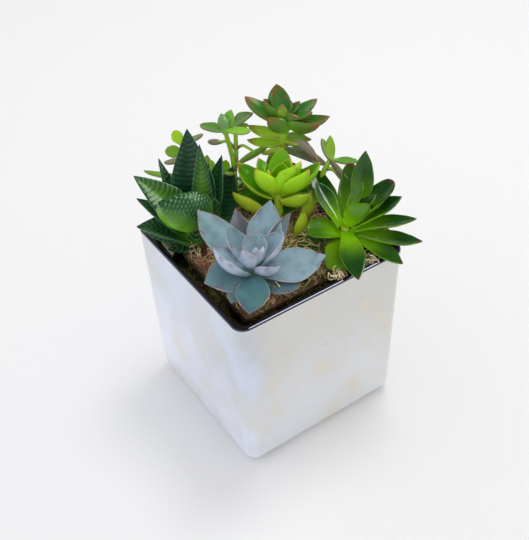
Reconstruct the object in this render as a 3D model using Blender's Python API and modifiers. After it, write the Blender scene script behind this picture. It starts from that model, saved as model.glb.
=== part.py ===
"""A square silvered planter of succulents: five rosettes on their stems, three sprigs, moss and soil.

The origin is the centre of the planter's flat underside, +Z is up, and the planter's sides are square
to X and Y. Sizes below are in millimetres and degrees, and meshes are made in metres.
"""

import math
from collections import namedtuple

import bmesh
import bpy
from mathutils import Matrix, Vector

MM = 0.001
GAP = 0.3                       # clearance between pieces that touch

# ---------------------------------------------------------------- driving dimensions
POT_SIDE = 100.0                # outside, across the rim
POT_FOOT_SIDE = 96.5            # outside, across the foot
POT_HEIGHT = 105.0
POT_CORNER = 6.5                # radius of the upright corners
POT_FOOT_ROUND = 8.0            # radius between the walls and the underside
POT_FLOOR = 8.0                 # thickness of the floor
RIM_ROLL = 1.1                  # radius of the rolled rim
LIP_HALF = 39.0                 # half the opening inside the sloping lip
LIP_DROP = 5.5                  # how far the lip slopes down from the roll
LIP_EDGE = 1.5                  # thickness of the lip's inner edge
CAVITY_HALF = 44.0              # half the cavity below the lip
CAVITY_FOOT_HALF = 42.0
CAVITY_CORNER = 5.0
FLOOR_ROUND = 6.0               # radius between the cavity's walls and its floor

SOIL_TOP = 95.6
SOIL_CORNER = 2.0               # radius of the soil's corners at the planter's floor
MOSS_EDGE_TOP = 98.6
MOSS_CROWN = 101.8
MOSS_CORNER = 3.2               # radius of the moss's corners at its edge
MOSS_EDGE_ROUND = 1.0           # how far the edge of the moss rounds over
HOLE_DEPTH = 9.0                # how deep each plant stands in the soil
HOLE_SIDES = 12
HOLE_SLACK = 0.4                # how much wider than a stem its hole is, besides the gap
HAWORTHIA_HOLE = 5.3            # radius of the hole that the haworthia's core stands in
ARC_STEPS = 4                   # steps in a quarter of a round corner or a roll

LEAF_STATIONS = (0.0, 0.16, 0.36, 0.58, 0.8, 0.93)
BROAD = (0.24, 0.44, 0.8, 1.0, 0.78, 0.42)      # width at each station: widest past the middle
SWORD = (0.42, 0.74, 1.0, 0.86, 0.52, 0.24)     # widest near the foot, drawn out to a point
PADDLE = (0.26, 0.46, 0.78, 1.0, 0.9, 0.6)      # blunt and rounded
LEAF_BODY = (0.7, 0.9, 1.0, 1.0, 0.8, 0.5)      # thickness at each station
LEAF_UPPER = 0.35               # share of the thickness above a leaf's middle
LEAF_LOWER = 0.65               # share of the thickness below it
BUD_SEGMENTS = 10
BUD_RINGS = 6
BUD_SEAT = 1.7                  # height of a stem's end above the collar
HEART_REACH = 0.4               # how far a young leaf's foot stands from a bud's middle

Leaf = namedtuple("Leaf", "name turn rise length width level bow side cup", defaults=(None, None))
Twig = namedtuple("Twig", "foot turn rise length width")
Plant = namedtuple("Plant", "collar stem_radius shape thickness cup colour leaves young bud clasping")

# A leaf's turn is measured round +Z from +X, its rise above level from foot to tip, its level is the
# height of its foot above the collar, and its bow is how far its middle hangs below the straight line
# from foot to tip, as a share of its length. Its side is where round the stem its foot stands, where
# that isn't its turn, and its cup is how far its edges stand up, as a share of its half width.
ECHEVERIA = Plant(
    collar=(-22.0, -21.0, 110.0), stem_radius=2.5, shape=BROAD, thickness=1.8, cup=0.10,
    colour=(0.22, 0.34, 0.37),
    leaves=(
        Leaf("left_leaf", 106, 31, 38.0, 19.0, -1.0, 0.05),
        Leaf("back_leaf", 37, 37, 32.5, 17.0, -0.2, 0.05, 45),
        Leaf("right_leaf", 335, 6, 33.0, 19.0, -3.3, 0.04, 332),
        Leaf("front_leaf", 232, 1, 28.5, 17.0, -2.0, -0.03),
        Leaf("low_left_leaf", 176, 6, 22.0, 15.0, -3.4, 0.04, 170),
        Leaf("low_right_leaf", 300, 4, 21.5, 13.0, -5.6, 0.03),
        Leaf("tall_right_leaf", 18, 34, 31.0, 10.0, -2.0, 0.05, 8),
        Leaf("inner_left_leaf", 146, 42, 21.0, 12.0, 0.5, 0.12, None, 0.4),
        Leaf("inner_back_leaf", 103, 50, 21.0, 11.0, 1.2, 0.07),
        Leaf("inner_right_leaf", 354, 46, 20.0, 10.5, 0.8, 0.07),
    ),
    young=(
        Leaf("back", 49, 62, 15.0, 10.0, 3.5, 0.10),
        Leaf("front_right", 292, 26, 15.5, 9.0, 2.6, 0.14, None, 0.4),
        Leaf("front", 190, 75, 11.5, 8.0, 3.2, 0.10),
        Leaf("right", 344, 70, 8.5, 6.0, 3.6, 0.10),
    ),
    bud=2.6,
    clasping=(
        Leaf("low_front", 203, 2, 23.0, 11.0, -5.8, 0.03, 215),
        Leaf("back_left", 71, 24, 37.5, 12.0, -5.0, 0.05, 75),
    ),
)
HAWORTHIA = Plant(
    collar=(-28.0, 24.0, 106.0), stem_radius=5.5, shape=SWORD, thickness=2.6, cup=0.06,
    colour=(0.03, 0.12, 0.04),
    leaves=(
        Leaf("tall_leaf", 60, 64, 46.3, 14.0, 4.0, 0.0, 62),
        Leaf("tall_right_leaf", 80, 78, 43.5, 11.0, 4.0, 0.0, 345),
        Leaf("left_leaf", 122, 50, 36.0, 13.0, 4.0, -0.04, 158),
        Leaf("front_leaf", 130, 60, 29.0, 19.0, 1.5, 0.12, 225, 0.3),
        Leaf("lower_left_leaf", 125, 32, 28.9, 11.0, 1.0, -0.05, 142),
        Leaf("low_leaf", 152, 27, 26.3, 10.0, -0.7, -0.05, 187),
        Leaf("back_right_leaf", 18, 52, 35.0, 10.0, 1.5, -0.03, 24),
        Leaf("right_leaf", 26, 36, 35.0, 12.0, -2.0, 0.02, 350),
        Leaf("back_left_leaf", 90, 52, 39.0, 9.0, -0.5, 0.0, 100),
    ),
    young=(),
    bud=0.0,
    clasping=(
        Leaf("inner", 41, 60, 36.8, 8.0, 2.0, 0.0, 20),
        Leaf("front_right", 338, 78, 26.0, 8.0, -1.0, 0.06, 280),
        Leaf("front_foot", 161, 8, 11.7, 9.0, -4.0, 0.0, 240),
        Leaf("lowest", 138, 12, 33.6, 11.0, -4.8, -0.05, 160),
    ),
)
LIME = Plant(
    collar=(12.0, 7.0, 124.0), stem_radius=1.9, shape=BROAD, thickness=1.8, cup=0.14,
    colour=(0.22, 0.5, 0.03),
    leaves=(
        Leaf("back_leaf", 46, 47, 21.0, 12.0, 0.2, 0.06),
        Leaf("left_leaf", 107, 26, 25.1, 11.0, -3.4, 0.07, 122),
        Leaf("front_left_leaf", 130, 60, 16.0, 13.0, 0.2, 0.14, 190, 0.5),
        Leaf("front_right_leaf", 319, 48, 20.5, 12.0, 0.2, 0.12, 290, 0.4),
        Leaf("right_leaf", 348, 28, 24.5, 12.0, -1.4, 0.07),
        Leaf("low_left_leaf", 128, 6, 23.0, 11.0, -8.0, 0.08),
        Leaf("low_right_leaf", 332, 10, 15.0, 10.0, -6.0, 0.12, 315, 0.3),
        Leaf("low_back_leaf", 1, 1, 21.0, 10.0, -9.0, 0.08),
    ),
    young=(
        Leaf("back_right", 345, 46, 17.5, 8.0, 2.0, 0.08),
        Leaf("right", 324, 55, 14.4, 8.0, 2.4, 0.10),
        Leaf("rear", 26, 66, 9.5, 7.0, 2.4, 0.10),
        Leaf("left", 150, 76, 11.0, 7.0, 2.4, 0.12),
    ),
    bud=2.2,
    clasping=(
        Leaf("foot", 313, 2, 11.5, 7.0, -14.0, 0.0),
        Leaf("low_rear", 64, 33, 25.3, 9.0, -4.2, 0.06),
        Leaf("low_back_left", 92, 42, 20.9, 9.0, -2.2, 0.06),
    ),
)
GLOSSY = Plant(
    collar=(31.0, -25.0, 112.0), stem_radius=2.5, shape=BROAD, thickness=1.9, cup=0.08,
    colour=(0.06, 0.24, 0.02),
    leaves=(
        Leaf("upright_leaf", 31, 51, 36.5, 10.0, 1.2, -0.02, 32),
        Leaf("left_leaf", 94, 41, 24.5, 9.5, 0.4, -0.04, 110),
        Leaf("short_left_leaf", 150, 16, 18.5, 11.0, -1.4, -0.08, 165),
        Leaf("front_leaf", 242, -6, 33.0, 11.5, -1.8, -0.12),
        Leaf("front_right_leaf", 287, -6, 31.9, 9.5, -4.3, -0.08, 276),
        Leaf("long_right_leaf", 305, 4, 36.7, 9.5, -3.4, -0.06, 310),
        Leaf("right_leaf", 318, 15, 33.4, 9.0, -2.0, -0.05, 314),
        Leaf("upper_right_leaf", 339, 26, 29.4, 9.0, -0.8, -0.04, 339),
        Leaf("back_right_leaf", 353, 33, 30.0, 10.5, 0.9, -0.03, 359),
        Leaf("back_leaf", 45, 38, 32.5, 11.0, -1.8, -0.03, 58),
    ),
    young=(
        Leaf("front", 306, 56, 17.0, 10.0, 3.4, 0.12, None, 0.3),
        Leaf("back", 11, 57, 21.0, 6.0, 3.4, 0.0),
        Leaf("right", 340, 42, 20.0, 7.0, 3.2, 0.0),
        Leaf("low_right", 326, 33, 18.0, 5.0, 3.2, 0.0),
    ),
    bud=2.4,
    clasping=(Leaf("low_front", 224, -3, 26.0, 11.0, -4.8, -0.06),),
)
CROWN = Plant(
    collar=(29.0, 25.0, 150.0), stem_radius=1.9, shape=BROAD, thickness=1.8, cup=0.12,
    colour=(0.08, 0.2, 0.05),
    leaves=(
        Leaf("top_leaf", 68, 52, 17.5, 10.0, 0.4, 0.05),
        Leaf("left_leaf", 119, 26, 21.5, 9.0, -0.2, 0.05),
        Leaf("front_leaf", 200, 24, 9.0, 9.0, -0.2, 0.12, 225, 0.4),
        Leaf("front_right_leaf", 299, 12, 19.0, 9.0, -0.6, 0.12, 290, 0.3),
        Leaf("right_leaf", 330, 6, 22.0, 9.0, -2.0, 0.05, 332),
        Leaf("back_right_leaf", 340, 30, 18.5, 9.0, -0.4, 0.05, 0),
        Leaf("hanging_leaf", 290, -14, 19.0, 10.0, -13.0, -0.04),
    ),
    young=(
        Leaf("back", 95, 66, 13.0, 8.0, 3.0, 0.06),
        Leaf("left", 132, 46, 12.0, 7.0, 3.0, 0.06),
        Leaf("front_right", 300, 40, 12.0, 7.0, 3.0, 0.08),
        Leaf("right", 309, 20, 15.8, 7.0, 3.0, 0.06),
    ),
    bud=2.2,
    clasping=(
        Leaf("low_left", 119, -5, 20.5, 7.0, -6.0, 0.03),
        Leaf("low_front_left", 135, -5, 17.0, 7.0, -8.5, 0.03),
        Leaf("low_right", 306, 2, 15.0, 6.0, -10.0, -0.03),
        Leaf("lower_hanging", 311, -18, 22.5, 9.0, -17.5, -0.04),
    ),
)

# Stems that stand in the moss: points from the root end up, with the radius at each.
STEMS = {
    "echeveria": ((-22.0, -21.0, 90.0, 2.4), (-22.0, -21.0, 104.0, 2.5), (-22.0, -21.0, 111.2, 2.5)),
    "lime_rosette": ((13.0, 8.0, 90.0, 1.9), (13.0, 8.0, 104.0, 2.0), (12.3, 7.3, 115.0, 1.9),
                     (12.0, 7.0, 125.2, 1.9)),
    "glossy_rosette": ((31.0, -25.0, 90.0, 2.4), (31.0, -25.0, 104.0, 2.5), (31.0, -25.0, 113.5, 2.5)),
    "crown_rosette": ((31.0, 28.0, 90.0, 2.0), (31.0, 28.0, 106.0, 2.1), (30.0, 26.5, 130.0, 2.0),
                      (29.0, 25.0, 151.2, 1.9)),
    "left_sprig": ((5.0, 36.0, 90.0, 1.5), (5.0, 36.0, 104.0, 1.5), (6.0, 39.0, 125.0, 1.4),
                   (3.0, 40.0, 148.5, 1.1)),
    "back_sprig": ((-15.0, 37.0, 90.0, 1.4), (-15.0, 37.0, 104.0, 1.4), (-15.0, 49.0, 124.0, 1.3),
                   (-14.0, 57.0, 138.0, 1.0)),
    "right_sprig": ((36.0, 9.0, 90.0, 1.5), (36.0, 9.0, 104.0, 1.5), (41.0, 6.5, 124.0, 1.3),
                    (46.0, 7.0, 130.0, 1.1)),
}
TWIGS = {
    "left_sprig": (
        Twig((3, 40, 147), 142, 8, 14.0, 7.0), Twig((3, 40, 147), 335, 2, 14.0, 6.0),
        Twig((3, 40, 147), 60, 72, 10.0, 6.0), Twig((4, 40, 146), 318, 32, 15.0, 7.0),
        Twig((6, 39, 128), 345, 14, 19.0, 6.0), Twig((5, 39.4, 133), 190, 22, 10.0, 5.0),
    ),
    "back_sprig": (
        Twig((-14, 57, 137), 100, 40, 7.0, 6.0), Twig((-14, 57, 137), 335, 14, 13.0, 4.5),
        Twig((-15, 54, 133), 160, 10, 9.0, 6.0), Twig((-15, 51, 127), 150, 12, 13.0, 5.0),
        Twig((-15, 48, 122), 20, 12, 16.0, 7.0), Twig((-15, 47, 121), 145, 12, 24.0, 5.0),
    ),
    "right_sprig": (
        Twig((46, 7, 129.5), 155, 58, 14.0, 5.0), Twig((46, 7, 129.5), 100, 68, 13.0, 5.0),
        Twig((46, 7, 129.5), 335, 6, 15.0, 5.0), Twig((44, 6.6, 127.5), 285, -22, 13.0, 6.0),
    ),
}
TWIG_THICKNESS = 2.0
HAWORTHIA_CORE = ((3.6, 112.0), (5.0, 109.0), (5.5, 105.0), (5.0, 101.0), (4.0, 92.0))
CORE_SEGMENTS = 16

SILVER = (0.68, 0.68, 0.70)
EARTH = (0.05, 0.032, 0.02)
MOSS_TAN = (0.32, 0.23, 0.09)
STEM_GREEN = (0.2, 0.27, 0.08)
SPRIG_GREEN = (0.14, 0.27, 0.06)


# ---------------------------------------------------------------- scene and materials
def clear_scene():
    """Remove whatever the file starts with."""
    for item in list(bpy.data.objects):
        bpy.data.objects.remove(item, do_unlink=True)


def new_collection(name):
    """A collection linked to the scene."""
    collection = bpy.data.collections.new(name)
    bpy.context.scene.collection.children.link(collection)
    return collection


def finish(item, colour, roughness, metallic=0.0):
    """Give an object a Principled material of its own."""
    material = bpy.data.materials.new(item.name + "_finish")
    material.use_nodes = True
    shader = material.node_tree.nodes["Principled BSDF"]
    shader.inputs["Base Color"].default_value = (*colour, 1.0)
    shader.inputs["Roughness"].default_value = roughness
    shader.inputs["Metallic"].default_value = metallic
    item.data.materials.append(material)


def add_object(name, mesh, collection):
    """Link an object that holds the mesh."""
    item = bpy.data.objects.new(name, mesh)
    collection.objects.link(item)
    return item


def hide_cutter(item):
    """Mark an object as one that only cuts or joins others."""
    item.hide_render = True
    item.display_type = "WIRE"


# ---------------------------------------------------------------- shapes
def skin(name, rings):
    """Loft a closed mesh through rings of points in millimetres; a ring of one point is a tip."""
    form = bmesh.new()
    loops = [[form.verts.new(Vector(point) * MM) for point in ring] for ring in rings]
    for near, far in zip(loops, loops[1:]):
        count = max(len(near), len(far))
        for index in range(count):
            after = (index + 1) % count
            if len(far) == 1:
                form.faces.new((near[index], near[after], far[0]))
            elif len(near) == 1:
                form.faces.new((near[0], far[after], far[index]))
            else:
                form.faces.new((near[index], near[after], far[after], far[index]))
    if len(loops[0]) > 1:
        form.faces.new(reversed(loops[0]))
    if len(loops[-1]) > 1:
        form.faces.new(loops[-1])
    bmesh.ops.recalc_face_normals(form, faces=form.faces)
    mesh = bpy.data.meshes.new(name)
    form.to_mesh(mesh)
    form.free()
    return mesh


def rounded_square(half, radius, height, steps=ARC_STEPS):
    """The outline of a square with round corners, anticlockwise, at one height."""
    outline = []
    for quarter in range(4):
        centre_angle = math.radians(45 + 90 * quarter)
        reach = (half - radius) * math.sqrt(2)
        centre = (reach * math.cos(centre_angle), reach * math.sin(centre_angle))
        for step in range(steps + 1):
            angle = math.radians(90 * quarter + 90 * step / steps)
            outline.append((centre[0] + radius * math.cos(angle),
                            centre[1] + radius * math.sin(angle), height))
    return outline


def leaf_rings(leaf, shape, thickness, plant_cup):
    """Sections of a leaf along +X from its foot at the origin, its upper face to +Z."""
    cup = plant_cup if leaf.cup is None else leaf.cup
    rings = []
    for station, breadth, body in zip(LEAF_STATIONS, shape, LEAF_BODY):
        half = 0.5 * leaf.width * breadth
        lift = cup * half
        hang = -4 * leaf.bow * leaf.length * station * (1 - station)
        upper = LEAF_UPPER * thickness * body
        lower = LEAF_LOWER * thickness * body
        rings.append([
            (leaf.length * station, y, hang + z) for y, z in (
                (-half, lift), (-0.5 * half, -lower), (0.5 * half, -lower),
                (half, lift), (0.5 * half, upper), (-0.5 * half, upper))
        ])
    rings.append([(leaf.length, 0.0, 0.0)])
    return rings


def leaf_matrix(foot, turn, rise):
    """Place a leaf with its foot at a point, turned round +Z and raised."""
    spin = Matrix.Rotation(math.radians(turn), 4, "Z") @ Matrix.Rotation(-math.radians(rise), 4, "Y")
    return Matrix.Translation(Vector(foot) * MM) @ spin


def leaf_foot(plant, leaf, inset=0.0):
    """The middle of a leaf's foot, just clear of the stem, or set into it."""
    side = leaf.turn if leaf.side is None else leaf.side
    skew = abs(math.sin(math.radians(leaf.turn - side)))
    lean = abs(math.sin(math.radians(leaf.rise)))
    half_width = 0.5 * leaf.width * plant.shape[0]
    half_depth = LEAF_LOWER * plant.thickness * LEAF_BODY[0]
    out = plant.stem_radius + GAP + half_width * skew + half_depth * lean - inset
    x, y, z = plant.collar
    angle = math.radians(side)
    return (x + out * math.cos(angle), y + out * math.sin(angle), z + leaf.level)


def make_leaf(name, plant, leaf, collection, inset=0.0):
    """One leaf of a plant as an object."""
    mesh = skin(name, leaf_rings(leaf, plant.shape, plant.thickness, plant.cup))
    item = add_object(name, mesh, collection)
    item.matrix_world = leaf_matrix(leaf_foot(plant, leaf, inset), leaf.turn, leaf.rise)
    mesh.shade_smooth()
    return item


def curve_tube(name, points, collection):
    """A round tube with filled caps through points that carry their radius, as a welded mesh."""
    curve = bpy.data.curves.new(name, "CURVE")
    curve.dimensions = "3D"
    curve.bevel_depth = MM
    curve.bevel_resolution = 2
    curve.use_fill_caps = True
    spline = curve.splines.new("POLY")
    spline.points.add(len(points) - 1)
    for point, (x, y, z, radius) in zip(spline.points, points):
        point.co = (x * MM, y * MM, z * MM, 1.0)
        point.radius = radius
    tube = add_object(name + "_path", curve, collection)
    bpy.context.view_layer.update()
    mesh = bpy.data.meshes.new_from_object(tube.evaluated_get(bpy.context.evaluated_depsgraph_get()))
    form = bmesh.new()
    form.from_mesh(mesh)
    bmesh.ops.remove_doubles(form, verts=form.verts, dist=0.01 * MM)
    bmesh.ops.recalc_face_normals(form, faces=form.faces)
    form.to_mesh(mesh)
    form.free()
    bpy.data.objects.remove(tube, do_unlink=True)
    mesh.name = name
    item = add_object(name, mesh, collection)
    mesh.shade_smooth()
    return item


def boolean(item, other, operation):
    """Cut or join with another object by an exact Boolean."""
    modifier = item.modifiers.new(operation.lower() + "_" + other.name, "BOOLEAN")
    modifier.operation = operation
    modifier.solver = "EXACT"
    modifier.object = other
    hide_cutter(other)


def fuse_leaf(item, plant, leaf, cutters, inset):
    """Grow a leaf out of an object as one body with it."""
    boolean(item, make_leaf(item.name + "_" + leaf.name, plant, leaf, cutters, inset), "UNION")


# ---------------------------------------------------------------- planter, soil and moss
def make_pot(collection):
    """The square planter: rounded foot, tapering walls, rolled rim and sloping lip."""
    foot_half = POT_FOOT_SIDE / 2
    rim_half = POT_SIDE / 2
    rings = []
    for step in range(ARC_STEPS + 1):
        angle = math.radians(90 * step / ARC_STEPS)
        inset = POT_FOOT_ROUND * (1 - math.sin(angle))
        radius = max(POT_CORNER - 0.6 * inset, 2.0)
        rings.append(rounded_square(foot_half - inset, radius, POT_FOOT_ROUND * (1 - math.cos(angle))))
    roll_height = POT_HEIGHT - RIM_ROLL
    for step in range(ARC_STEPS + 1):
        angle = math.radians(180 * step / ARC_STEPS)
        half = rim_half - RIM_ROLL + RIM_ROLL * math.cos(angle)
        radius = POT_CORNER - (rim_half - half)
        rings.append(rounded_square(half, radius, roll_height + RIM_ROLL * math.sin(angle)))
    lip_start = rim_half - 2 * RIM_ROLL
    for step in range(1, 4):
        angle = math.radians(90 * step / 3)
        half = lip_start - (lip_start - LIP_HALF) * (1 - math.cos(angle))
        height = roll_height - LIP_DROP * math.sin(angle)
        rings.append(rounded_square(half, POT_CORNER - 0.4 * (rim_half - half), height))
    lip_bottom = roll_height - LIP_DROP - LIP_EDGE
    rings.append(rounded_square(LIP_HALF, 3.0, lip_bottom))
    rings.append(rounded_square(CAVITY_HALF, CAVITY_CORNER, lip_bottom - LIP_DROP))
    for step in range(4):
        angle = math.radians(90 * step / 3)
        half = CAVITY_FOOT_HALF - FLOOR_ROUND * (1 - math.cos(angle))
        height = POT_FLOOR + FLOOR_ROUND * (1 - math.sin(angle))
        rings.append(rounded_square(half, max(CAVITY_CORNER - 0.5 * (CAVITY_FOOT_HALF - half), 2.0), height))
    item = add_object("pot", skin("pot", rings), collection)
    item.data.set_sharp_from_angle(angle=math.radians(40))
    finish(item, SILVER, 0.18, 0.8)
    return item


def make_soil(collection):
    """The soil that fills the planter up to the underside of its lip."""
    lip_bottom = POT_HEIGHT - RIM_ROLL - LIP_DROP - LIP_EDGE
    rings = [
        rounded_square(CAVITY_FOOT_HALF - FLOOR_ROUND - GAP, SOIL_CORNER, POT_FLOOR + GAP),
        rounded_square(CAVITY_FOOT_HALF - GAP, CAVITY_CORNER, POT_FLOOR + FLOOR_ROUND + GAP),
        rounded_square(CAVITY_HALF - GAP, CAVITY_CORNER, lip_bottom - LIP_DROP - GAP),
        rounded_square(LIP_HALF - 2 * GAP, 3.0, SOIL_TOP),
    ]
    item = add_object("soil", skin("soil", rings), collection)
    finish(item, EARTH, 0.95)
    return item


def make_moss(collection):
    """The mat of moss over the soil, slightly crowned, its edge just inside the lip."""
    edge = LIP_HALF - GAP
    rings = [
        rounded_square(edge - GAP, MOSS_CORNER, SOIL_TOP + GAP),
        rounded_square(edge, MOSS_CORNER, MOSS_EDGE_TOP - MOSS_EDGE_ROUND),
        rounded_square(edge - MOSS_EDGE_ROUND, MOSS_CORNER, MOSS_EDGE_TOP),
        rounded_square(0.86 * edge, 2 * MOSS_CORNER, 0.5 * (MOSS_EDGE_TOP + MOSS_CROWN)),
        rounded_square(0.55 * edge, 3 * MOSS_CORNER, MOSS_CROWN),
    ]
    item = add_object("moss", skin("moss", rings), collection)
    item.data.shade_smooth()
    finish(item, MOSS_TAN, 0.9)
    return item


def cut_holes(item, stems, bottom, cutters):
    """Open a hole round each stem, from the given height up through the top."""
    for name, (x, y, radius) in stems.items():
        height = MOSS_CROWN + HOLE_DEPTH - bottom
        bpy.ops.mesh.primitive_cylinder_add(
            vertices=HOLE_SIDES, radius=(radius + GAP) / math.cos(math.pi / HOLE_SIDES) * MM,
            depth=height * MM, location=(x * MM, y * MM, (bottom + height / 2) * MM))
        cutter = bpy.context.object
        cutter.name = item.name + "_hole_" + name
        for owner in list(cutter.users_collection):
            owner.objects.unlink(cutter)
        cutters.objects.link(cutter)
        boolean(item, cutter, "DIFFERENCE")


# ---------------------------------------------------------------- plants
def make_core(collection):
    """The thick short stem that the haworthia's leaves clasp, turned from its profile."""
    form = bmesh.new()
    points = [(0.0, HAWORTHIA_CORE[0][1])] + list(HAWORTHIA_CORE) + [(0.0, HAWORTHIA_CORE[-1][1])]
    verts = [form.verts.new((radius * MM, 0.0, height * MM)) for radius, height in points]
    for near, far in zip(verts, verts[1:]):
        form.edges.new((near, far))
    mesh = bpy.data.meshes.new("haworthia_core")
    form.to_mesh(mesh)
    form.free()
    item = add_object("haworthia_core", mesh, collection)
    item.location = (HAWORTHIA.collar[0] * MM, HAWORTHIA.collar[1] * MM, 0.0)
    screw = item.modifiers.new("turn", "SCREW")
    screw.steps = CORE_SEGMENTS
    screw.render_steps = CORE_SEGMENTS
    screw.use_merge_vertices = True
    screw.merge_threshold = 0.0001
    return item


def make_bud(name, plant, collection):
    """The round bud on top of a stem, which the youngest leaves grow from."""
    form = bmesh.new()
    bmesh.ops.create_uvsphere(form, u_segments=BUD_SEGMENTS, v_segments=BUD_RINGS, radius=plant.bud * MM)
    mesh = bpy.data.meshes.new(name)
    form.to_mesh(mesh)
    form.free()
    item = add_object(name, mesh, collection)
    x, y, z = plant.collar
    item.location = (x * MM, y * MM, (z + BUD_SEAT + GAP + plant.bud) * MM)
    mesh.shade_smooth()
    return item


def make_rosette(name, plant, stem, collection, cutters):
    """Leaves round a stem, each its own object, with the young leaves joined in the heart."""
    for leaf in plant.clasping:
        fuse_leaf(stem, plant, leaf, cutters, inset=plant.stem_radius)
    for leaf in plant.leaves:
        finish(make_leaf(name + "_" + leaf.name, plant, leaf, collection), plant.colour, 0.45)
    if plant.young:
        heart = make_bud(name + "_heart", plant, collection)
        for leaf in plant.young:
            fuse_leaf(heart, plant, leaf, cutters, inset=plant.stem_radius - HEART_REACH)
        finish(heart, plant.colour, 0.45)


def make_sprig(name, collection, cutters):
    """A thin stem with a few paddle leaves, grown together as one body."""
    stem = curve_tube(name, STEMS[name], collection)
    for number, twig in enumerate(TWIGS[name], 1):
        mesh_name = name + "_leaf_" + str(number)
        rings = leaf_rings(Leaf(mesh_name, 0, 0, twig.length, twig.width, 0, 0.0), PADDLE,
                           TWIG_THICKNESS, 0.05)
        paddle = add_object(mesh_name, skin(mesh_name, rings), cutters)
        paddle.matrix_world = leaf_matrix(twig.foot, twig.turn, twig.rise)
        boolean(stem, paddle, "UNION")
    finish(stem, SPRIG_GREEN, 0.5)


def main():
    """Model the whole arrangement."""
    clear_scene()
    parts = new_collection("succulent_arrangement")
    cutters = new_collection("cutters")
    make_pot(parts)
    soil = make_soil(parts)
    moss = make_moss(parts)
    holes = {name: (points[1][0], points[1][1], points[1][3] + HOLE_SLACK) for name, points in STEMS.items()}
    holes["haworthia"] = (HAWORTHIA.collar[0], HAWORTHIA.collar[1], HAWORTHIA_HOLE)
    cut_holes(soil, holes, SOIL_TOP - HOLE_DEPTH, cutters)
    cut_holes(moss, holes, SOIL_TOP - MOSS_EDGE_ROUND, cutters)

    core = make_core(parts)
    finish(core, STEM_GREEN, 0.6)
    make_rosette("haworthia", HAWORTHIA, core, parts, cutters)
    rosettes = {"echeveria": ECHEVERIA, "lime_rosette": LIME, "glossy_rosette": GLOSSY,
                "crown_rosette": CROWN}
    for name, plant in rosettes.items():
        stem = curve_tube(name + "_stem", STEMS[name], parts)
        finish(stem, STEM_GREEN, 0.6)
        make_rosette(name, plant, stem, parts, cutters)
    for name in TWIGS:
        make_sprig(name, parts, cutters)


main()
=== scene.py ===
"""Looks of a succulent arrangement: a silvered cube planter, moss, five rosettes and three sprigs.

Each separate leaf takes its place from the CAD node that it stands for, unless its looks move it. The
leaves that CAD joins to a stem or a heart are listed here. Lists are in millimetres and degrees, and all
else is in metres, +Z up.
"""

import math
import random

from collections import namedtuple

import bmesh
import bpy
import numpy as np
from bpy.props import FloatProperty, FloatVectorProperty, IntProperty, PointerProperty
from mathutils import Euler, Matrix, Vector, noise


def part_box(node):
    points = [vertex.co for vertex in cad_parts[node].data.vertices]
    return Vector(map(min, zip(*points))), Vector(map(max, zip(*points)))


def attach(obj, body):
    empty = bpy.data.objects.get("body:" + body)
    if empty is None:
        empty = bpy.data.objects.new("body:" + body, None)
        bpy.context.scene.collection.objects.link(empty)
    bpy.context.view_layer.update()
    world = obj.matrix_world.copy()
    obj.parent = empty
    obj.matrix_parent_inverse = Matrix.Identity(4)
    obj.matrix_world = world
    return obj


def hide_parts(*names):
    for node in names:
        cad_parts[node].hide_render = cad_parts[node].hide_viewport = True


bl_info = {
    "name": "Succulent arrangement",
    "version": (1, 0, 0),
    "blender": (4, 5, 0),
    "location": "3D View > Sidebar > Succulents",
    "description": "Builds a glazed cube planter of moss, succulent rosettes and sprigs",
    "category": "Object",
}

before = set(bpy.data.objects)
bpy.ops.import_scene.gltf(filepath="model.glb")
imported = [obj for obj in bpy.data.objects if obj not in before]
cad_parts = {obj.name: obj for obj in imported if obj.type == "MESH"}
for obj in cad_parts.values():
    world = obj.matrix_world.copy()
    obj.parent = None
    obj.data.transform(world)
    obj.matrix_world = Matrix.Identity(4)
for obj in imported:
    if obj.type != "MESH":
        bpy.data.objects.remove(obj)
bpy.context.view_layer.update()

MM = 0.001
MARKS = ("along", "across", "upper", "age", "relief", "tint")
CAD_STATIONS = np.array((0.0, 0.16, 0.36, 0.58, 0.8, 0.93, 1.0))     # where a CAD leaf has its sections

# ---------------------------------------------------------------- kinds of leaf
# A kind's profile gives the width at stations along the leaf, and its fullness the thickness there.
# Keel and groove are shares of the half width, curl is how far the tip turns up as a share of the
# length, root how far the foot reaches into the stem in millimetres, wave how much the edge rolls,
# and cup how high the edges stand as a share of the half width.
Kind = namedtuple("Kind", "stations profile fullness keel groove curl root wave cup")
BROAD = Kind(
    stations=(0.0, 0.14, 0.36, 0.58, 0.8, 0.92, 0.975, 1.0),
    profile=(0.34, 0.5, 0.84, 1.0, 0.74, 0.34, 0.11, 0.0),
    fullness=(1.0, 1.0, 1.0, 0.9, 0.7, 0.5, 0.3, 0.1),
    keel=0.10, groove=0.06, curl=0.03, root=1.6, wave=0.04, cup=0.16)
OVAL = Kind(
    stations=(0.0, 0.14, 0.34, 0.56, 0.8, 0.93, 0.98, 1.0),
    profile=(0.42, 0.6, 0.9, 1.0, 0.76, 0.36, 0.1, 0.0),
    fullness=(0.9, 1.0, 1.1, 1.05, 0.85, 0.6, 0.35, 0.1),
    keel=0.14, groove=0.0, curl=0.04, root=1.4, wave=0.02, cup=0.4)
LONG = Kind(
    stations=(0.0, 0.14, 0.36, 0.62, 0.82, 0.93, 0.98, 1.0),
    profile=(0.46, 0.52, 0.78, 1.0, 0.78, 0.38, 0.12, 0.0),
    fullness=(1.1, 1.0, 0.95, 0.9, 0.75, 0.55, 0.35, 0.1),
    keel=0.10, groove=0.16, curl=0.04, root=1.6, wave=0.05, cup=0.3)
BLUNT = LONG._replace(
    stations=(0.0, 0.14, 0.36, 0.6, 0.86, 0.95, 0.985, 1.0),
    profile=(0.46, 0.56, 0.84, 1.0, 0.92, 0.7, 0.4, 0.0))
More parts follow.
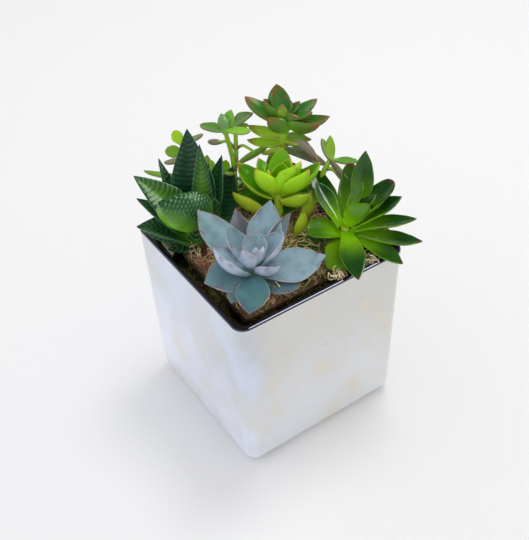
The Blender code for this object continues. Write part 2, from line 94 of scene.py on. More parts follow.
SWORD = Kind(
    stations=(0.0, 0.16, 0.36, 0.58, 0.8, 0.93, 1.0),
    profile=(0.74, 0.94, 1.0, 0.84, 0.5, 0.21, 0.0),
    fullness=(1.0, 1.1, 1.1, 1.0, 0.75, 0.45, 0.15),
    keel=0.3, groove=0.12, curl=0.0, root=2.5, wave=0.02, cup=0.22)
SHELL = SWORD._replace(
    stations=(0.0, 0.15, 0.36, 0.56, 0.76, 0.9, 0.97, 1.0),
    profile=(0.5, 0.82, 1.0, 0.97, 0.72, 0.36, 0.13, 0.0),
    fullness=(1.0, 1.1, 1.1, 1.0, 0.8, 0.5, 0.3, 0.1))
PADDLE = Kind(
    stations=(0.0, 0.16, 0.36, 0.6, 0.82, 0.94, 1.0),
    profile=(0.24, 0.4, 0.8, 1.0, 0.88, 0.56, 0.0),
    fullness=(0.8, 0.9, 1.0, 1.0, 0.9, 0.7, 0.2),
    keel=0.05, groove=0.03, curl=0.03, root=0.8, wave=0.02, cup=0.2)

# A leaf's turn is measured round +Z from +X, its rise above level from foot to tip. Its level is the
# height of its foot above the plant's collar, its bow how far its middle hangs below the straight line
# from foot to tip as a share of its length, and its side where round the stem its foot stands. Its
# looks may give a cup, a bow, a curl, a width, a kind, another foot or tip, the turn and rise that its
# upper face looks to, an age from 0 (young) to 1, a tint from -1 (dull) to 1 (sunny, painted light; on
# the lime rosette the dull end is painted shade), a strip of painted light along the middle (or off it
# by a lean), a haworthia's banding from 0 to 1, and beads in place of bands.
Place = namedtuple("Place", "foot tip up width bow")
Leaf = namedtuple("Leaf", "turn rise length width level bow side looks")
Twig = namedtuple("Twig", "foot turn rise length width looks")
Plant = namedtuple("Plant", "node collar bud kind slot stem young clasping looks")


def leaf(turn, rise, length, width, level, bow, side=None, /, **looks):
    """A listed leaf that springs from its plant's stem."""
    return Leaf(turn, rise, length, width, level, bow, side, looks)


def set_leaf(foot, tip, width, face, bow, **looks):
    """A listed leaf given by its foot, its tip and where its upper face looks."""
    return Leaf(0, 0, 0, width, 0, bow, None, dict(foot=foot, tip=tip, face=face, **looks))


def twig(foot, turn, rise, length, width, /, **looks):
    """A leaf of a sprig."""
    return Twig(foot, turn, rise, length, width, looks)


ECHEVERIA = Plant(
    node="echeveria", collar=(-22.0, -21.0, 110.0), bud=1.2, kind=BROAD, slot="echeveria_leaf",
    stem=((-22, -21, 96, 2.6), (-22, -21, 104, 2.5), (-22, -21, 110, 2.2)),
    young=(
        leaf(49, 62, 15.5, 12.5, 3.5, 0.10, cup=0.55, age=0.0),
        leaf(296, 28, 15.5, 10.5, -1.0, 0.14, cup=0.95, face=(75, 50), age=0.0),
        leaf(186, 70, 14.5, 10.0, 1.6, 0.12, cup=0.25, face=(52, 22), age=0.0),
        leaf(344, 66, 9.5, 7.0, 3.2, 0.10, cup=0.5, face=(100, 20), age=0.0),
        leaf(20, 84, 7.5, 5.0, 4.0, 0.06, cup=0.3, age=0.0, face=(60, 5)),
    ),
    clasping=(
        set_leaf((-32.0, -24.5, 107.5), (-42.7, -32.0, 106.0), 10.0, (225, 75), 0.03, age=0.9, tint=-0.3),
        leaf(71, 24, 37.5, 14.0, -5.0, 0.05, 75, age=1.0, cup=0.4, tint=-0.6),
    ),
    looks={
        "left": dict(cup=0.2, age=0.35, width=20.0), "back": dict(cup=0.22, age=0.3, width=18.0),
        "right": dict(cup=0.12, age=0.25, width=22.5, face=(238, 80), foot=(-19.3, -22.4, 107.6),
                      tip=(10.4, -36.3, 111.0)), "front": dict(cup=0.12, age=1.0),
        "low_left": dict(cup=0.12, age=0.7, width=21.0, face=(290, 70), foot=(-25.0, -20.5, 108.5),
                         tip=(-46.5, -15.0, 111.0), curl=-0.14),
        "low_right": dict(cup=0.1, age=0.8, width=13.5, foot=(-20.6, -23.5, 103.9), tip=(-9.9, -42.1, 105.0),
                          face=(240, 84)),
        "tall_right": dict(cup=0.5, age=0.6, tint=-0.4, width=9.5, face=(270, 25)),
        "inner_left": dict(cup=0.95, age=0.1, face=(335, 40), width=13.5, foot=(-28.0, -22.6, 111.0),
                           tip=(-37.9, -10.5, 124.0)),
        "inner_back": dict(cup=0.6, age=0.3, width=12.0),
        "inner_right": dict(cup=0.8, age=0.1, width=13.0, face=(165, 50)),
    },
)
HAWORTHIA = Plant(
    node="haworthia", collar=(-28.0, 24.0, 106.0), bud=0.0, kind=SWORD, slot="haworthia_leaf",
    stem=((-28, 24, 96, 4.6), (-28, 24, 104, 5.4), (-28, 23.5, 112, 4.0)),
    young=(),
    clasping=(
        leaf(41, 60, 36.8, 8.0, 2.0, 0.0, 20, tip=(-12.2, 32.3, 138.0), age=0.5, banding=0.4),
        set_leaf((-17.2, 22.3, 110.0), (-18.3, 27.1, 124.0), 10.0, (238, 35), 0.04, age=0.5, cup=0.3,
                 banding=0.4, kind=OVAL),
        leaf(161, 8, 11.7, 10.0, -4.0, 0.0, 240, age=0.4),
        set_leaf((-33.0, 27.0, 108.0), (-52.5, 43.0, 109.5), 16.0, (240, 50), -0.05, cup=0.1),
        set_leaf((-31.0, 20.0, 105.0), (-29.0, 20.6, 116.0), 7.0, (238, 20), 0.0, age=0.6),
        set_leaf((-27.0, 19.0, 102.5), (-45.0, 25.0, 102.0), 11.0, (240, 60), 0.0, cup=0.1),
        set_leaf((-22.0, 24.0, 104.0), (-4.0, 30.0, 113.0), 13.0, (230, 50), 0.0),
    ),
    looks={
        "tall": dict(width=23.0, cup=0.3, age=1.0),
        # Some of these leaves carry a strip of painted light along their middle.
        "tall_right": dict(foot=(-23.5, 25.0, 110.0), width=10.5, cup=0.4, age=0.6, face=(250, 12),
                           painted_light=0.5),
        "left": dict(width=17.0, age=0.45, foot=(-30.0, 29.5, 114.0), face=(268, 30), painted_light=0.4),
        "front": dict(foot=(-27.0, 21.5, 112.5), width=27.0, cup=0.75, bow=0.12, face=(48, 6), kind=SHELL,
                      age=0.75, beads=True, painted_light=2.1, lean=0.6, banding=1.0, curl=-0.04),
        "back_right": dict(width=13.0, tip=(-1.6, 37.1, 136.0), face=(215, 35), banding=0.3),
        "right": dict(width=20.0, tip=(4.8, 38.0, 125.8), face=(215, 45), banding=0.3),
        "low": dict(cup=0.3, width=12.0, banding=0.5),
        "lower_left": dict(width=13.0, banding=0.4),
    },
)
LIME = Plant(
    node="lime_rosette", collar=(12.0, 7.0, 124.0), bud=1.2, kind=OVAL, slot="lime_rosette_leaf",
    stem=((13, 8, 96, 2.4), (13, 8, 104, 2.4), (12.3, 7.3, 115, 2.2), (12, 7, 126, 2.0)),
    young=(
        leaf(345, 46, 17.5, 9.0, 2.0, 0.12, cup=0.85, face=(85, 30), age=0.1),
        leaf(324, 55, 14.4, 9.5, 3.0, 0.12, cup=0.8, face=(72, 16), age=0.0),
        leaf(26, 66, 12.5, 9.0, 2.4, 0.10, cup=0.8, age=0.1, face=(230, 40)),
        leaf(335, 70, 11.0, 6.5, 2.8, 0.10, 250, cup=0.85, face=(70, 10), age=0.0),
        leaf(150, 76, 12.0, 6.5, 2.4, 0.10, cup=0.7, age=0.1),
        leaf(10, 58, 15.5, 8.0, 2.4, 0.10, cup=0.7, age=0.2),
    ),
    clasping=(
        set_leaf((14.3, -4.6, 102.0), (21.7, -2.2, 112.5), 8.5, (75, 35), 0.16, cup=0.5, age=0.2, tint=0.6),
        leaf(64, 33, 25.3, 9.0, -4.2, 0.06, age=0.9),
        leaf(92, 42, 20.9, 11.0, -2.2, 0.06, age=0.4, face=(280, 35)),
        # These two leaves are dark with painted shade.
        set_leaf((11.0, 9.0, 111.0), (8.5, 34.0, 114.0), 21.0, (240, 72), 0.05, tint=-0.9),
        set_leaf((14.0, 8.0, 109.0), (36.0, 14.0, 113.0), 15.0, (240, 72), 0.05, tint=-0.9),
    ),
    looks={
        "back": dict(cup=0.4, width=13.0, age=0.1), "left": dict(cup=0.65, width=13.0, age=0.9, bow=0.12),
        "front_left": dict(cup=0.6, bow=0.14, width=10.0, face=(42, 12), age=0.0, tint=0.15,
                           foot=(11.2, 6.2, 125.0), tip=(2.5, 12.4, 138.4)),
        "front_right": dict(cup=0.8, bow=0.14, width=9.5, face=(92, 30), age=0.1, foot=(13.2, 5.2, 125.5),
                            tip=(23.6, -5.3, 139.0)),
        "right": dict(cup=0.6, bow=0.12, age=0.6, width=14.0, face=(125, 62)),
        "low_left": dict(cup=0.8, bow=0.10, face=(60, 50), age=0.0, tint=0.7, width=11.0,
                         foot=(6.8, 12.5, 110.5)),
        "low_right": dict(cup=0.9, bow=0.16, face=(80, 58), age=0.0, tint=0.5, width=11.0),
        "low_back": dict(cup=0.7, bow=0.12, face=(75, 25), age=0.3, tint=0.7, width=10.0,
                         foot=(22.7, 0.2, 107.5), tip=(35.6, 6.9, 116.0)),
    },
)
GLOSSY = Plant(
    node="glossy_rosette", collar=(31.0, -25.0, 112.0), bud=0.9, kind=LONG, slot="glossy_rosette_leaf",
    stem=((31, -25, 96, 2.5), (31, -25, 104, 2.5), (31, -25, 112, 2.2)),
    young=(
        leaf(306, 56, 17.5, 11.5, 2.4, 0.08, cup=0.8, face=(58, 14), kind=OVAL, age=0.0),
        leaf(11, 57, 21.0, 6.5, 3.4, 0.0, cup=0.7, age=0.5),
        leaf(340, 42, 20.0, 8.0, 3.2, 0.0, cup=0.6, age=0.9),
        leaf(326, 33, 18.0, 6.0, 3.2, 0.0, cup=0.7, age=0.6),
    ),
    clasping=(
        leaf(222, -3, 28.0, 16.0, -4.8, -0.06, tint=0.8, cup=0.2, kind=BLUNT),
        leaf(153, -6, 24.0, 12.0, -6.5, -0.03, tint=-0.7, cup=0.2, kind=BLUNT),
        set_leaf((34.5, -15.0, 110.0), (37.5, 10.5, 123.0), 12.0, (250, 50), 0.03, age=1.0, kind=BLUNT),
    ),
    looks={
        "upright": dict(cup=0.35, width=12.0, foot=(38.0, -25.0, 112.5), face=(238, 30), age=0.95),
        "left": dict(cup=0.45, width=10.5, age=1.0),
        "short_left": dict(kind=BLUNT, width=16.0, cup=0.3, age=0.5, foot=(27.7, -24.1, 108.5),
                           tip=(12.8, -16.2, 112.5), face=(320, 76)),
        "front": dict(width=13.0, cup=0.12, age=1.0), "back": dict(kind=BLUNT, cup=0.35, age=0.8, tint=-0.3),
        "back_right": dict(kind=BLUNT, width=14.0, cup=0.25, age=1.0),
        "upper_right": dict(width=13.0, cup=0.35, age=1.0),
        "right": dict(width=11.0, cup=0.3, age=1.0),
        "long_right": dict(width=10.5, cup=0.35, bow=0.0, age=0.95),
        "front_right": dict(width=11.0, cup=0.3, age=0.9),
    },
)
CROWN = Plant(
    node="crown_rosette", collar=(29.0, 25.0, 150.0), bud=1.4, kind=OVAL, slot="crown_rosette_leaf",
    stem=((31, 28, 96, 2.1), (31, 28, 106, 2.1), (30, 26.5, 130, 2.3), (29, 25, 142, 2.8),
          (29, 25, 151, 1.8)),
    young=(
        leaf(100, 66, 13.0, 6.5, 3.0, 0.08, cup=0.5, age=0.3),
        leaf(132, 46, 12.5, 8.5, 3.0, 0.12, cup=0.85, age=0.9, face=(330, 30)),
        leaf(300, 30, 9.5, 10.0, 0.0, 0.16, cup=0.85, face=(66, 28), age=0.9),
        leaf(309, 20, 15.8, 8.0, 2.0, 0.08, cup=0.5, age=0.4),
        leaf(40, 60, 10.3, 6.5, 3.0, 0.08, cup=0.6, age=0.0),
        leaf(353, 30, 10.5, 6.5, 3.4, 0.08, cup=0.5, age=0.0),
        leaf(230, 78, 9.5, 5.0, 3.0, 0.10, cup=0.5, face=(58, 10), age=0.3, tint=0.3),
        leaf(10, 50, 8.0, 5.5, 3.4, 0.08, cup=0.6, age=0.0),
    ),
    clasping=(
        # A sunny tint here paints light on the branch leaves, which stand in shade under the crown.
        leaf(132, 10, 19.0, 7.5, -8.0, 0.1, cup=0.45, tint=0.9, width=6.8, face=(238, 72)),
        leaf(144, 6, 19.0, 5.5, -13.0, 0.06, cup=0.5, tint=0.7, width=6.0, face=(238, 72)),
        leaf(309, 6, 13.0, 6.5, -10.0, 0.06, cup=0.4, tint=1.0, width=8.0, face=(238, 62)),
        leaf(306, 2, 15.0, 5.5, -9.0, -0.03, cup=0.3, tint=0.4),
        leaf(311, -18, 24.0, 9.5, -17.5, -0.1, cup=0.15, tint=-0.6),
        leaf(150, -8, 12.0, 4.5, -17.0, 0.0, cup=0.3, tint=0.9),
    ),
    looks={
        "top": dict(width=12.0, cup=0.4, age=0.5), "left": dict(width=10.5, cup=0.6, bow=0.1, age=0.7),
        "front": dict(cup=0.4, bow=0.14, width=10.5, face=(50, 14), age=1.0, foot=(27.5, 21.0, 147.5),
                      tip=(19.5, 24.5, 156.0)),
        "front_right": dict(cup=0.85, bow=0.14, width=10.5, face=(80, 45), age=0.9),
        "right": dict(width=10.5, cup=0.5, bow=0.1, age=0.5),
        "back_right": dict(width=10.5, cup=0.4, age=0.5),
        "hanging": dict(cup=0.7, bow=-0.16, tint=-1.0, kind=OVAL, width=9.0, face=(20, 40)),
    },
)
SPRIG_STEMS = {
    "left_sprig": (
        ((5, 36, 96, 1.4), (5, 36, 104, 1.4), (6, 39, 125, 1.3), (3, 40, 148.5, 1.2)),
        ((5.8, 38, 121, 1.2), (8.5, 39.5, 132, 1.2), (9.8, 41, 147, 1.1)),
        ((8.6, 39.6, 134, 0.8), (11, 36, 137, 0.8), (14, 30, 135, 0.7)),
        ((8.4, 39.5, 133.5, 0.8), (5, 42, 139, 0.8), (1, 45, 138.5, 0.7)),
    ),
    "back_sprig": (
        ((-15, 37, 96, 1.4), (-15, 37, 104, 1.4), (-15, 49, 124, 1.3), (-14, 57, 138, 1.0)),
        ((-12, 38, 96, 1.0), (-12, 41, 108, 1.0), (-9, 46, 118, 0.8)),
    ),
    "right_sprig": (
        ((36, 9, 96, 1.5), (36, 9, 104, 1.5), (41, 6.5, 124, 1.5), (46, 7, 130, 1.2)),
        ((42, 6.6, 125, 1.1), (43.5, 3, 126.5, 1.0), (44, 0, 126, 0.8)),
    ),
}
SPRIG_LEAVES = {
    "left_sprig": (
        twig((3, 40, 147), 134, 10, 13.4, 9.0, age=0.9, cup=0.25),
        twig((3, 40, 148), 304, 6, 14.6, 7.5, age=0.3, tint=0.3),
        twig((3, 39.5, 147), 80, 64, 9.5, 6.0, face=(58, 5), cup=0.5, bow=0.05, kind=OVAL, age=0.9),
        twig((4.5, 41, 147), 18, 60, 10.5, 7.5, age=0.3, kind=OVAL),
        twig((9.8, 41, 146), 350, 26, 12.0, 7.5, bow=-0.16, cup=0.5, age=0.9, tint=-0.4, kind=OVAL),
        twig((9.8, 41, 146.5), 335, 0, 7.0, 5.0, tint=0.8),
        twig((3, 44, 138.5), 150, 4, 7.5, 5.0, tint=-1.0),
        twig((6.5, 38, 126), 346, 18, 20.0, 8.5, cup=0.6, face=(110, 40), tint=0.4),
        twig((6, 37.5, 122), 200, 20, 9.0, 4.5, tint=0.8),
        twig((6, 38.5, 117), 330, -5, 12.0, 5.0, tint=-0.8),
        twig((5.5, 37, 114), 160, 30, 11.0, 6.0, tint=0.5),
    ),
    "back_sprig": (
        twig((-14, 57, 137), 97, 45, 8.2, 6.5, tint=1.0, face=(238, 30)),
        twig((-14, 57, 137), 345, 14, 12.6, 4.5, tint=-0.7),
        twig((-15, 55, 134), 158, 10, 9.2, 7.0, tint=0.5, face=(250, 35)),
        twig((-15, 53, 131), 179, 8, 12.4, 4.5, tint=-0.9),
        twig((-15, 48, 122), 40, 8, 18.0, 7.0, tint=0.4),
        twig((-15, 47, 121), 145, 12, 26.0, 5.0, tint=0.4),
        twig((-9, 46, 117), 40, 50, 14.0, 6.5, tint=0.6),
        twig((-9, 46, 117), 25, 68, 15.0, 4.5, tint=1.0),
        twig((-15, 50, 126), 50, 50, 12.0, 5.0, tint=-0.8),
        twig((-12, 42, 110), 20, 20, 18.0, 6.0, tint=-0.5),
        twig((-2, 50, 112), 60, 40, 12.0, 6.5, tint=0.3),
        twig((-2, 50, 112), 320, 35, 13.0, 6.0, age=0.8),
        twig((2, 44, 112), 40, 60, 13.0, 6.5, tint=0.5),
        twig((8, 42, 108), 330, 50, 16.0, 6.5, age=1.0),
    ),
    "right_sprig": (
        twig((46, 7, 129.5), 100, 55, 12.0, 5.5, tint=-0.5, kind=OVAL),
        twig((46, 7, 129.5), 57, 62, 12.5, 5.0, tint=0.6, kind=OVAL, cup=0.4, age=0.3),
        twig((46.5, 6, 129.5), 310, 3, 13.2, 6.5, tint=0.2),
        twig((45.5, 5.5, 128.5), 273, -20, 15.5, 7.0, tint=-1.0, cup=0.6, face=(20, 40), kind=OVAL),
        twig((44, 0, 126), 292, -22, 10.0, 5.5, tint=-0.8),
    ),
}

# ---------------------------------------------------------------- planter
POT_FOOT_HALF = 48.25 * MM
POT_CORNER = 6.5 * MM
POT_FOOT_ROUND = 8.0 * MM
POT_FLOOR = 8.0 * MM
RIM_ROLL = 1.1 * MM
LIP_HALF = 39.0 * MM
LIP_DROP = 5.5 * MM
LIP_EDGE = 1.5 * MM
INNER_HALF = 44.0 * MM                           # half the inside's width, under the lip
INNER_FOOT_HALF = 42.0 * MM
INNER_FOOT = 14.0 * MM                           # where the inside starts to round towards the floor
FLOOR_HALF = 36.0 * MM
TUFTS = (((10.9, -45.2, 104.6), 3.0), ((31.2, -45.4, 104.6), 3.2))     # centre and radius
DRY_LEAVES = (                          # kind, foot, turn, rise, length, width, where it faces
    (OVAL, (38.5, -29.5, 106.0), -55, 2, 18.0, 8.5, (230, 60)),
    (OVAL, (43.0, -32.0, 104.0), -12, 10, 10.0, 6.0, (230, 60)),
    (SWORD, (-31.5, 11.0, 103.5), 60, 12, 8.0, 3.2, (200, 50)),
    (SWORD, (-36.0, -2.0, 102.5), 100, 25, 9.0, 3.0, (200, 50)),
    (OVAL, (2.0, -30.0, 104.5), 20, 5, 8.0, 5.0, (240, 60)),
)
CORNER_STEPS = 10
SIDE_STEPS = 8
MOSS_EDGE_HEIGHT = 3.0 * MM                      # the crown's height at the edge, above the underside
MOSS_EDGE_DROP = 2.5 * MM                        # how far the very edge is rounded down
MOSS_CORNER = 3.2 * MM
MOSS_REACH = 0.88                                # the share of the mat's half width that grows strands
COARSE_DETAIL, FINE_DETAIL = 160.0, 400.0        # of the two noises that make the moss lumpy
COARSE_LUMPS, FINE_LUMPS = 1.2 * MM, 0.7 * MM    # and how high their lumps stand
RIM_SHADE_HEIGHTS = (25.0 * MM, 85.0 * MM)            # where the walls' painted shade, darker towards the rim, starts and is full
LEFT_WALL = (-47.0 * MM, -25.0 * MM)             # where the left wall's painted shading turns into the other walls'

# ---------------------------------------------------------------- leaf skins
BEAD_GRID = (84, 112)                            # stations along a leaf and points round it
HAWORTHIA_GRID = (90, 32)
SPRIG_GRID = (22, 16)
USUAL_FACE = (58, 30)                            # where a moved leaf faces, unless its looks say
LEAST_CUP = 0.02                                 # a flatter leaf is bent by this much
UPPER_SHARE, LOWER_SHARE = 0.35, 0.65            # a leaf's thickness above and below its middle sheet
KEEL_SPREAD, GROOVE_SPREAD = 0.3, 0.45           # as shares of the half width
CLASP_REACH, HEART_REACH = 0.3, 0.7              # millimetres from the stem's middle to a listed foot
HEART_THINNESS = 0.85                            # how thick a leaf of the heart is, beside the others
BUD_LIFT = 2.5                                   # millimetres from the collar to the bud
DRY_THICKNESS = 0.7 * MM

# ---------------------------------------------------------------- stage
FLOOR_SPREAD = 6.0                               # from the planter to each edge of the floor
KEY_SIZE = 0.35
CAMERA_PLACE = (-0.1932, -0.3034, 0.4000)
CAMERA_TURN = (48.484, 2.4421, -34.2502)         # in degrees
KEY_PLACE = (0.35, 0.15, 1.1)                    # where the lamp hangs
KEY_TARGET = Vector((0, 0, 0.1))                 # what the lamp is turned to


# ---------------------------------------------------------------- settings
def colour(name, description, default):
    """A colour setting."""
    return FloatVectorProperty(
        name=name, description=description, default=default, subtype="COLOR", size=3, min=0.0, max=1.0)


def length(name, description, default):
    """A length setting, given in millimetres."""
    return FloatProperty(
        name=name, description=description, default=default * MM, unit="LENGTH", precision=5, min=0.0)


def share(name, description, default):
    """A setting from 0 to 1."""
    return FloatProperty(
        name=name, description=description, default=default, subtype="FACTOR", min=0.0, max=1.0)


class SUCCULENT_PG_planter(bpy.types.PropertyGroup):
    """Finish of the planter."""
    silver: colour("Silver glaze", "Cool silver of the outer walls", (0.78, 0.82, 0.95))
    # The warm glaze is both creamy places in the silver and painted shade laid over the walls other than the
    # left one. The two wall shades below are painted shade that dims the walls towards the rim: cool on the
    # left wall, creamy on the others.
    warm: colour("Warm glaze", "Creamy places in the silver", (0.71, 0.725, 0.74))
    haze: colour("Cool haze", "What the left wall is dimmed by towards the rim", (0.79, 0.82, 0.86))
    cream: colour("Cream haze", "What the other walls are dimmed by towards the rim", (0.89, 0.86, 0.78))
    blotch: colour("Smudges", "Tan smudges in the glaze", (0.72, 0.67, 0.56))
    speck: colour("Specks", "Pin-head specks in the glaze", (0.22, 0.23, 0.32))
    # Painted reflection: the rim's navy and the lip's dark olive stand in for the dark room and the plants
    # that the silver mirrors there, and the lip's dark is also painted shade above the moss.
    rim: colour("Rim", "Navy mirror of the rim", (0.03, 0.036, 0.062))
    lip: colour("Lip", "Dark olive mirror of the sloping lip", (0.05, 0.055, 0.025))
    clay: colour("Bare clay", "Unglazed underside", (0.55, 0.52, 0.47))
    wobble: length("Wobble", "How far the walls wander from flat", 0.08)


class SUCCULENT_PG_moss(bpy.types.PropertyGroup):
    """Moss over the soil."""
    straw: colour("Straw", "Pale dry strands", (1.0, 0.83, 0.42))
    rust: colour("Rust", "Reddish-brown strands", (0.72, 0.38, 0.24))
    green: colour("Green", "Strands that are still green", (0.26, 0.36, 0.05))
    tuft: colour("Tuft", "Pale strands that hang over the rim", (0.95, 0.86, 0.58))
    dry: colour("Dry leaf", "Wine-red of a shrivelled leaf", (0.10, 0.025, 0.02))
    amber: colour("Amber leaf", "Orange-brown of a dried leaf", (0.45, 0.16, 0.05))
    soil: colour("Soil", "Potting soil", (0.13, 0.09, 0.045))
    strand_length: length("Strand length", "Length of a strand", 13.0)
    strand_radius: length("Strand radius", "Radius of a strand", 0.34)
    strands: IntProperty(name="Strands", description="Number of strands on the mat", default=2200, min=0)
    seed: IntProperty(name="Seed", description="Seed of the strands' places", default=4)


class SUCCULENT_PG_echeveria(bpy.types.PropertyGroup):
    """Blue-grey rosette at the front."""
    flesh: colour("Old leaf", "Body of an outer leaf", (0.060, 0.155, 0.200))
    young: colour("Young leaf", "Body of a leaf in the heart", (0.36, 0.50, 0.58))
    foot: colour("Foot", "Leaf near the stem", (0.13, 0.27, 0.24))
    underside: colour("Underside", "Pale outer face of a leaf", (0.59, 0.61, 0.79))
    margin: colour("Margin", "Pinkish edge", (0.58, 0.46, 0.49))
    tip: colour("Tip", "Point of a leaf", (0.46, 0.11, 0.19))
    spot: colour("Spots", "Wine-red spots near the tips", (0.22, 0.03, 0.07))
    cloud: colour("Bloom gone", "Green where the bloom is rubbed off", (0.11, 0.24, 0.19))
    dull: colour("Dusty leaf", "Purple-brown of old leaves and of rubbed edges", (0.19, 0.14, 0.15))
    thickness: length("Thickness", "Thickness of a leaf", 2.2)


class SUCCULENT_PG_haworthia(bpy.types.PropertyGroup):
    """Dark ridged rosette at the left."""
    flesh: colour("Old leaf", "Body of an outer leaf", (0.003, 0.036, 0.013))
    young: colour("Young leaf", "Body of an inner leaf", (0.008, 0.09, 0.015))
    foot: colour("Foot", "Lime flesh near the core", (0.07, 0.26, 0.004))
    underside: colour("Underside", "Outer face of a leaf", (0.008, 0.075, 0.018))
    margin: colour("Margin", "Pale toothed edge", (0.05, 0.16, 0.05))
    tip: colour("Tip", "Point of a leaf", (0.008, 0.035, 0.02))
    ridge: colour("Ridge", "Raised bands of a dark leaf", (0.05, 0.18, 0.07))
    young_ridge: colour("Young ridge", "Raised bands of a pale leaf", (0.28, 0.52, 0.10))
    sunny: colour("Sunny leaf", "Lime where light comes through", (0.20, 0.52, 0.005))
    thickness: length("Thickness", "Thickness of a leaf", 3.2)
    ridge_pitch: length("Ridge pitch", "Distance from one raised band to the next", 2.4)
    ridge_height: length("Ridge height", "How far a band stands up", 0.36)


class SUCCULENT_PG_lime(bpy.types.PropertyGroup):
    """Lime rosette on the bare stem."""
    flesh: colour("Old leaf", "Body of an outer leaf", (0.07, 0.25, 0.003))
    young: colour("Young leaf", "Body of a leaf in the heart", (0.19, 0.52, 0.004))
    foot: colour("Foot", "Leaf near the stem", (0.26, 0.58, 0.006))
    underside: colour("Underside", "Outer face of a leaf", (0.34, 0.68, 0.012))
    margin: colour("Margin", "Yellow edge", (0.56, 0.44, 0.05))
    tip: colour("Tip", "Orange point of a leaf", (0.62, 0.26, 0.06))
    cloud: colour("Cloud", "Deeper green in places", (0.12, 0.40, 0.004))
    # Painted light on the lowest leaves, which stand in shade.
    sunny: colour("Sunny leaf", "Yellow of the lowest leaves", (0.55, 0.66, 0.04))
    # Painted shade: the dark green of two listed leaves low under the rosette, which stand in shade.
    dull: colour("Shaded leaf", "Dark green of the leaves low on the stem", (0.012, 0.06, 0.004))
    thickness: length("Thickness", "Thickness of a leaf", 2.4)


class SUCCULENT_PG_glossy(bpy.types.PropertyGroup):
    """Glossy rosette at the right."""
    flesh: colour("Old leaf", "Body of an outer leaf", (0.006, 0.055, 0.003))
    young: colour("Young leaf", "Body of a leaf in the heart", (0.12, 0.34, 0.003))
    foot: colour("Foot", "Lime foot of a leaf", (0.30, 0.66, 0.001))
    underside: colour("Underside", "Outer face of a leaf", (0.07, 0.22, 0.006))
    margin: colour("Margin", "Lime edge", (0.20, 0.38, 0.01))
    tip: colour("Tip", "Point of a leaf", (0.16, 0.012, 0.02))
    cloud: colour("Cloud", "Paler green in places", (0.02, 0.11, 0.004))
    # Painted light on the lowest leaves.
    sunny: colour("Sunny leaf", "Yellow-green of the lowest leaves", (0.12, 0.27, 0.004))
    dull: colour("Dull leaf", "Olive of the oldest leaves", (0.05, 0.09, 0.01))
    thickness: length("Thickness", "Thickness of a leaf", 2.3)


class SUCCULENT_PG_crown(bpy.types.PropertyGroup):
    """Tall rosette at the back."""
    flesh: colour("Old leaf", "Body of an outer leaf", (0.05, 0.25, 0.012))
    young: colour("Young leaf", "Body of a leaf in the heart", (0.045, 0.18, 0.03))
    foot: colour("Foot", "Leaf near the stem", (0.16, 0.44, 0.01))
    underside: colour("Underside", "Outer face of a leaf", (0.10, 0.21, 0.02))
    margin: colour("Margin", "Brown edge", (0.22, 0.15, 0.05))
    tip: colour("Tip", "Red flush towards the point", (0.28, 0.07, 0.03))
    cloud: colour("Cloud", "Red flush of an old leaf", (0.16, 0.10, 0.03))
    # Painted light on the branch leaves, which stand in shade under the crown.
    sunny: colour("Sunny leaf", "Lime of the branch leaves", (0.50, 0.80, 0.04))
    dull: colour("Hanging leaves", "Purple-grey of the old hanging leaves", (0.34, 0.30, 0.24))
    thickness: length("Thickness", "Thickness of a leaf", 2.2)


class SUCCULENT_PG_sprigs(bpy.types.PropertyGroup):
    """Sprigs with paddle leaves, and the bare stems."""
    flesh: colour("Leaf", "Body of a paddle leaf", (0.07, 0.27, 0.04))
    young: colour("Young leaf", "Body of a young paddle leaf", (0.24, 0.55, 0.04))
    foot: colour("Foot", "Leaf near the stem", (0.28, 0.60, 0.06))
    underside: colour("Underside", "Grey-green underside", (0.22, 0.36, 0.14))
    margin: colour("Margin", "Brownish edge", (0.26, 0.26, 0.09))
    tip: colour("Tip", "Reddish point", (0.30, 0.14, 0.08))
    cloud: colour("Cloud", "Red flush of a leaf", (0.20, 0.16, 0.05))
    sunny: colour("Sunny leaf", "Lime of a lit leaf", (0.38, 0.66, 0.02))
    dull: colour("Dull leaf", "Purple-grey of an old leaf", (0.25, 0.22, 0.15))
    stem: colour("Stem", "Lime stem", (0.42, 0.60, 0.03))
    bark: colour("Bark", "Brown of the older stem", (0.22, 0.15, 0.06))
    thickness: length("Thickness", "Thickness of a paddle leaf", 1.9)


class SUCCULENT_PG_stage(bpy.types.PropertyGroup):
    """Floor, lights and camera."""
    floor: colour("Floor", "Colour of the floor", (0.90, 0.90, 0.895))
    zenith: share("Zenith", "Light from the room overhead", 0.72)
    horizon: share("Horizon", "Light from the room at eye level", 0.92)
    dim: share("Ceiling", "How bright the ceiling looks in gloss", 0.16)
    box_power: FloatProperty(
        name="Softbox", description="How bright the softbox looks in gloss", default=13.0, min=0.0)
    box_turn: FloatProperty(
        name="Softbox turn", description="Where the softbox hangs round the planter, in degrees",
        default=-48.0)
    box_rise: FloatProperty(
        name="Softbox rise", description="How high the softbox hangs, in degrees", default=46.0)
    key_power: FloatProperty(
        name="Key", description="Power of the lamp", default=3.0, min=0.0, unit="POWER")
    lens: FloatProperty(
        name="Lens", description="Focal length in millimetres", default=60.4, min=10.0, unit="CAMERA")


SETTINGS = {
    "succulent_planter": SUCCULENT_PG_planter,
    "succulent_moss": SUCCULENT_PG_moss,
    "succulent_echeveria": SUCCULENT_PG_echeveria,
    "succulent_haworthia": SUCCULENT_PG_haworthia,
    "succulent_lime": SUCCULENT_PG_lime,
    "succulent_glossy": SUCCULENT_PG_glossy,
    "succulent_crown": SUCCULENT_PG_crown,
    "succulent_sprigs": SUCCULENT_PG_sprigs,
    "succulent_stage": SUCCULENT_PG_stage,
}


